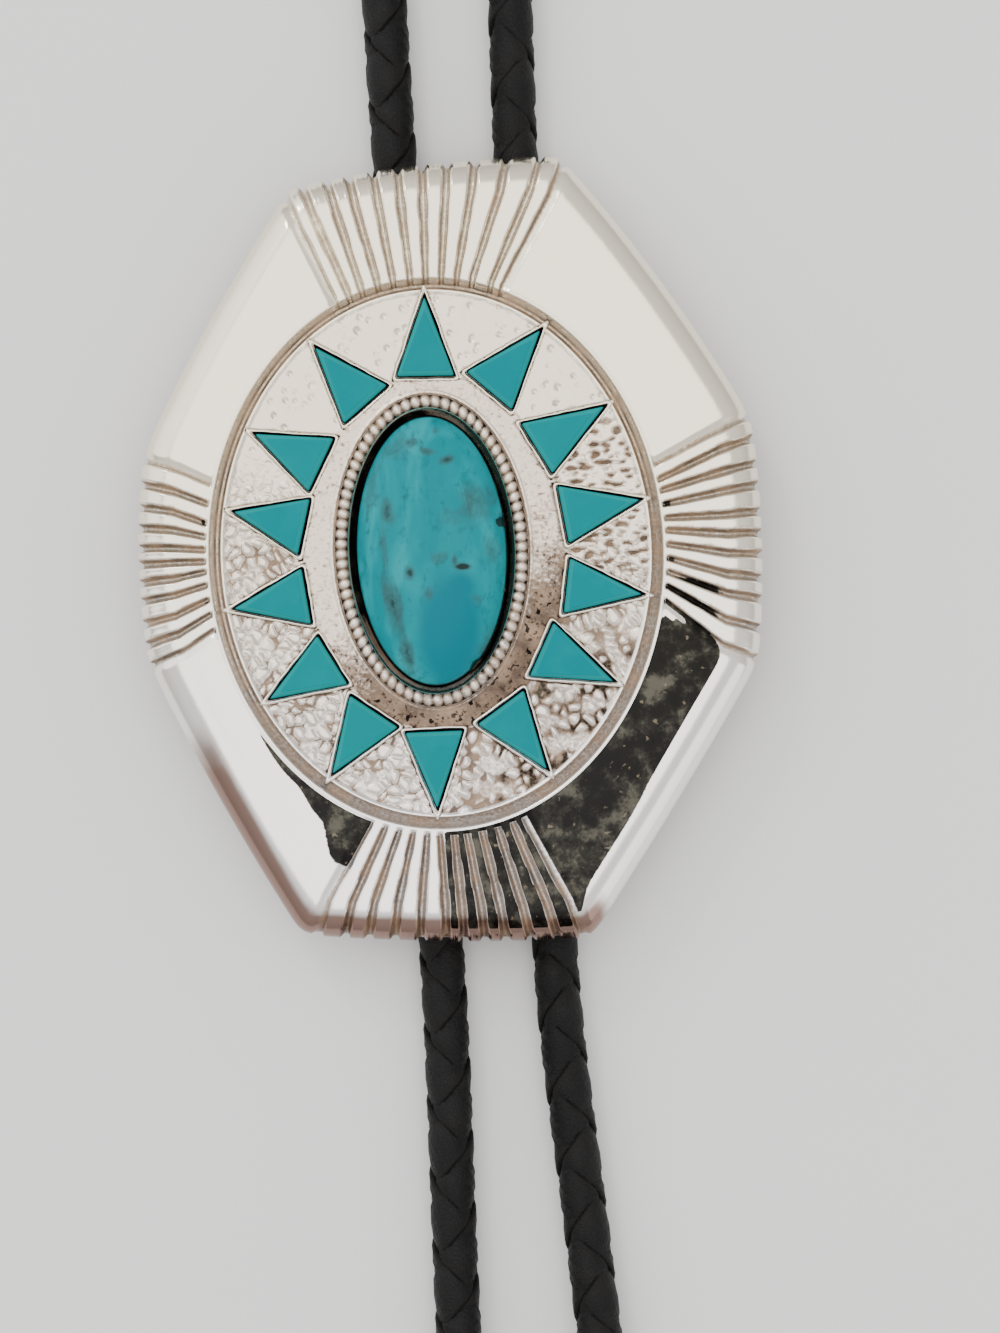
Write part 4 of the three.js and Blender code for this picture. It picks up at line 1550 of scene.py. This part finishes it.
def strand_rings(route, turning, start, width, pitch):
    """Sections of one flat strand that winds round the cord and weaves over and under."""
    middle = STRAND_MIDDLE * MM
    steps = int(route.total / pitch * STRAND_STEPS)
    across = Vector((-turning * 2 * math.pi * middle / pitch, 1.0)).normalized()
    rings = []
    for step in range(steps + 1):
        length = route.total * step / steps
        turn = turning * 2 * math.pi * length / pitch + start
        over = turning * math.cos(4 * math.pi * length / pitch)
        reach = middle + STRAND_WEAVE * MM * math.copysign(abs(over) ** 0.6, over)
        ring = []
        for wide, thick in STRAND_SECTION:
            offset = width / 2 * wide
            point, side, up = route.at(length + offset * across.x)
            angle = turn + offset * across.y / middle
            out = side * math.sin(angle) + up * math.cos(angle)
            place = point + out * (reach + STRAND_RISE * MM * thick)
            ring.append((*(place / MM), abs(wide) if thick > 0.1 else 1.0))
        rings.append(ring)
    return rings


class OBJECT_OT_braided_cord(bpy.types.Operator):
    """Model the braided cord from tip to tip, round the neck"""

    bl_idname = "object.braided_cord"
    bl_label = "Braided cord"

    def execute(self, context):
        sizes = context.scene.cord_sizes
        line = route_points()
        route = Route(line)
        strands = []
        for turning in (1, -1):
            for start in (-math.pi / 4, math.pi * 3 / 4):
                rings = strand_rings(route, turning, start, sizes.strand_width, 2 * sizes.plait_length)
                ends = [
                    [sum(values) / len(ring) for values in zip(*ring)] for ring in (rings[0], rings[-1])
                ]
                strands.append(ring_mesh(rings, *ends, ("edge",)))
        piece = joined("leather_braid", strands)
        shown(piece, material(laced_leather), "black_leather", "braided_cord")
        return {"FINISHED"}


def tip_profile():
    """Radius and place along a tip, from the foot of its bore over the rolled mouth to its nose."""
    body = TIP_RADIUS - 0.07
    profile = [
        (1.2, -0.3), (TIP_BORE - 0.1, -0.3), (TIP_BORE, -0.2), (TIP_BORE, 11.7), (TIP_BORE + 0.07, 11.9),
        (TIP_BORE + 0.2, TIP_GRIP), (TIP_RADIUS - 0.14, TIP_GRIP), (TIP_RADIUS - 0.04, 11.9),
        (TIP_RADIUS, 11.72), (TIP_RADIUS, 11.5), (TIP_RADIUS - 0.05, 11.32), (body - 0.1, 11.24),
        (body - 0.12, 11.12), (body - 0.03, 11.02), (body, 10.9),
    ]
    for groove in (9.6, 8.8):
        profile += [
            (body, groove + 0.24), (body - 0.04, groove + 0.16), (body - 0.14, groove),
            (body - 0.04, groove - 0.16), (body, groove - 0.24),
        ]
    start, reach = TIP_NOSE
    profile += [(body, 8.3), (body, 4), (body, -4), (body, -11), (body, start + 1)]
    for row in range(NOSE_ROWS):
        turn = row / NOSE_ROWS * math.pi / 2
        profile.append((body * math.cos(turn), start - reach * math.sin(turn)))
    return profile


def tip_rings(end, ahead):
    """Rings of a tip at an end of the cord, and the points that close its bore and its nose."""
    heading = Vector((ahead.x - end.x, ahead.y - end.y, 0)).normalized()
    side = Vector((heading.y, -heading.x, 0))
    rings = []
    for radius, along in tip_profile():
        ring = []
        for step in range(TIP_COLUMNS):
            turn = step / TIP_COLUMNS * 2 * math.pi
            place = end / MM + heading * along + side * (radius * math.sin(turn))
            ring.append((place.x, place.y, place.z + radius * math.cos(turn)))
        rings.append(ring)
    nose = end / MM + heading * (TIP_NOSE[0] - TIP_NOSE[1])
    return rings, tuple(end / MM - heading * 0.3), tuple(nose)


class OBJECT_OT_metal_fittings(bpy.types.Operator):
    """Model the cord tips and give the clip its metal"""

    bl_idname = "object.metal_fittings"
    bl_label = "Clip and tips"

    def execute(self, context):
        steel = material(plain_metal, "brushed_steel", (0.52, 0.51, 0.49), 0.34)
        nickel = material(plain_metal, "polished_nickel", (0.72, 0.69, 0.63), 0.2)
        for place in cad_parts["cord_clip"].material_slots:
            place.material = steel
        line = route_points()
        for name, end, ahead in (("tip_left", line[0], line[1]), ("tip_right", line[-1], line[-2])):
            piece = ring_piece(name + "_ferrule", *tip_rings(end, ahead), ())
            shown(piece, nickel, "tip_metal", name)
        return {"FINISHED"}


def add_light(name, place, size, power, colour):
    """A round soft light that is aimed at the slide."""
    lamp = bpy.data.lights.new(name, "AREA")
    lamp.shape = "DISK"
    lamp.size = size
    lamp.energy = power
    lamp.color = colour
    holder = bpy.data.objects.new(name, lamp)
    holder.location = place
    aim = Vector((0, 0, 0.005)) - Vector(place)
    holder.rotation_euler = aim.to_track_quat("-Z", "Y").to_euler()
    bpy.context.scene.collection.objects.link(holder)


def soft_room():
    """A pale surrounding that is a little brighter overhead."""
    world = bpy.data.worlds.new("soft_room")
    world.use_nodes = True
    nodes = world.node_tree.nodes
    links = world.node_tree.links
    place = nodes.new("ShaderNodeTexCoord")
    split = nodes.new("ShaderNodeSeparateXYZ")
    ramp = nodes.new("ShaderNodeValToRGB")
    stops = ((0.05, (0.70, 0.685, 0.67, 1)), (0.6, (1.0, 0.99, 0.98, 1)))
    for element, (stop, colour) in zip(ramp.color_ramp.elements, stops):
        element.position = stop
        element.color = colour
    links.new(place.outputs["Generated"], split.inputs[0])
    links.new(split.outputs["Z"], ramp.inputs[0])
    links.new(ramp.outputs[0], nodes["Background"].inputs["Color"])
    return world


def photo_camera():
    """The camera above the slide, leaning back a little, as in the photo."""
    lens = bpy.data.cameras.new("camera")
    lens.sensor_fit = "VERTICAL"
    lens.sensor_height = FILM_HEIGHT
    lens.lens = FOCAL_LENGTH / PHOTO_HEIGHT * FILM_HEIGHT
    lens.clip_start = 0.01
    holder = bpy.data.objects.new("camera", lens)
    right = Vector(CAMERA_RIGHT).normalized()
    flat_up = Vector((-right.y, right.x, 0.0))
    back = Vector((0, 0, 1)) * math.cos(CAMERA_LEAN) - flat_up * math.sin(CAMERA_LEAN)
    turn = Matrix((right, back.cross(right), back)).transposed().to_4x4()
    place = Vector(CAMERA_AIM) * MM + back * CAMERA_AWAY * MM
    holder.matrix_world = Matrix.Translation(place) @ turn
    bpy.context.scene.collection.objects.link(holder)
    return holder


class OBJECT_OT_tie_stage(bpy.types.Operator):
    """Set up the pale floor, the soft light and the camera"""

    bl_idname = "object.tie_stage"
    bl_label = "Floor, light and camera"

    def execute(self, context):
        scene = context.scene
        bm = bmesh.new()
        bmesh.ops.create_grid(bm, x_segments=2, y_segments=2, size=1.5)
        floor = finished("floor", bm, shade=False)
        floor.data.materials.append(material(pale_floor))
        for name, place, size, power, colour in LIGHTS:
            add_light(name, place, size, power, colour)
        scene.world = soft_room()
        scene.camera = photo_camera()
        return {"FINISHED"}


class VIEW3D_PT_bolo_tie(bpy.types.Panel):
    bl_idname = "VIEW3D_PT_bolo_tie"
    bl_label = "Bolo tie"
    bl_space_type = "VIEW_3D"
    bl_region_type = "UI"
    bl_category = "Bolo tie"

    def draw(self, context):
        column = self.layout.column()
        for sizes in (context.scene.cord_sizes, context.scene.slide_sizes, context.scene.stone_sizes):
            for name in sizes.bl_rna.properties.keys():
                if name not in ("rna_type", "name"):
                    column.prop(sizes, name)
        for maker in OPERATORS:
            column.operator(maker.bl_idname)


SIZES = (CordSizes, SlideSizes, StoneSizes)
OPERATORS = (
    OBJECT_OT_tie_stage,
    OBJECT_OT_braided_cord,
    OBJECT_OT_metal_fittings,
    OBJECT_OT_slide_frame,
    OBJECT_OT_slide_medallion,
    OBJECT_OT_stone_cells,
    OBJECT_OT_inlay_stones,
    OBJECT_OT_cabochon,
)


def register():
    for one in (*SIZES, *OPERATORS, VIEW3D_PT_bolo_tie):
        bpy.utils.register_class(one)
    bpy.types.Scene.cord_sizes = PointerProperty(type=CordSizes)
    bpy.types.Scene.slide_sizes = PointerProperty(type=SlideSizes)
    bpy.types.Scene.stone_sizes = PointerProperty(type=StoneSizes)


def unregister():
    del bpy.types.Scene.stone_sizes
    del bpy.types.Scene.slide_sizes
    del bpy.types.Scene.cord_sizes
    for one in reversed((*SIZES, *OPERATORS, VIEW3D_PT_bolo_tie)):
        bpy.utils.unregister_class(one)


def main():
    register()
    bpy.ops.object.tie_stage()
    bpy.ops.object.metal_fittings()
    bpy.ops.object.braided_cord()
    bpy.ops.object.slide_frame()
    bpy.ops.object.slide_medallion()
    bpy.ops.object.stone_cells()
    bpy.ops.object.inlay_stones()
    bpy.ops.object.cabochon_stone()


if __name__ == "__main__":
    main()
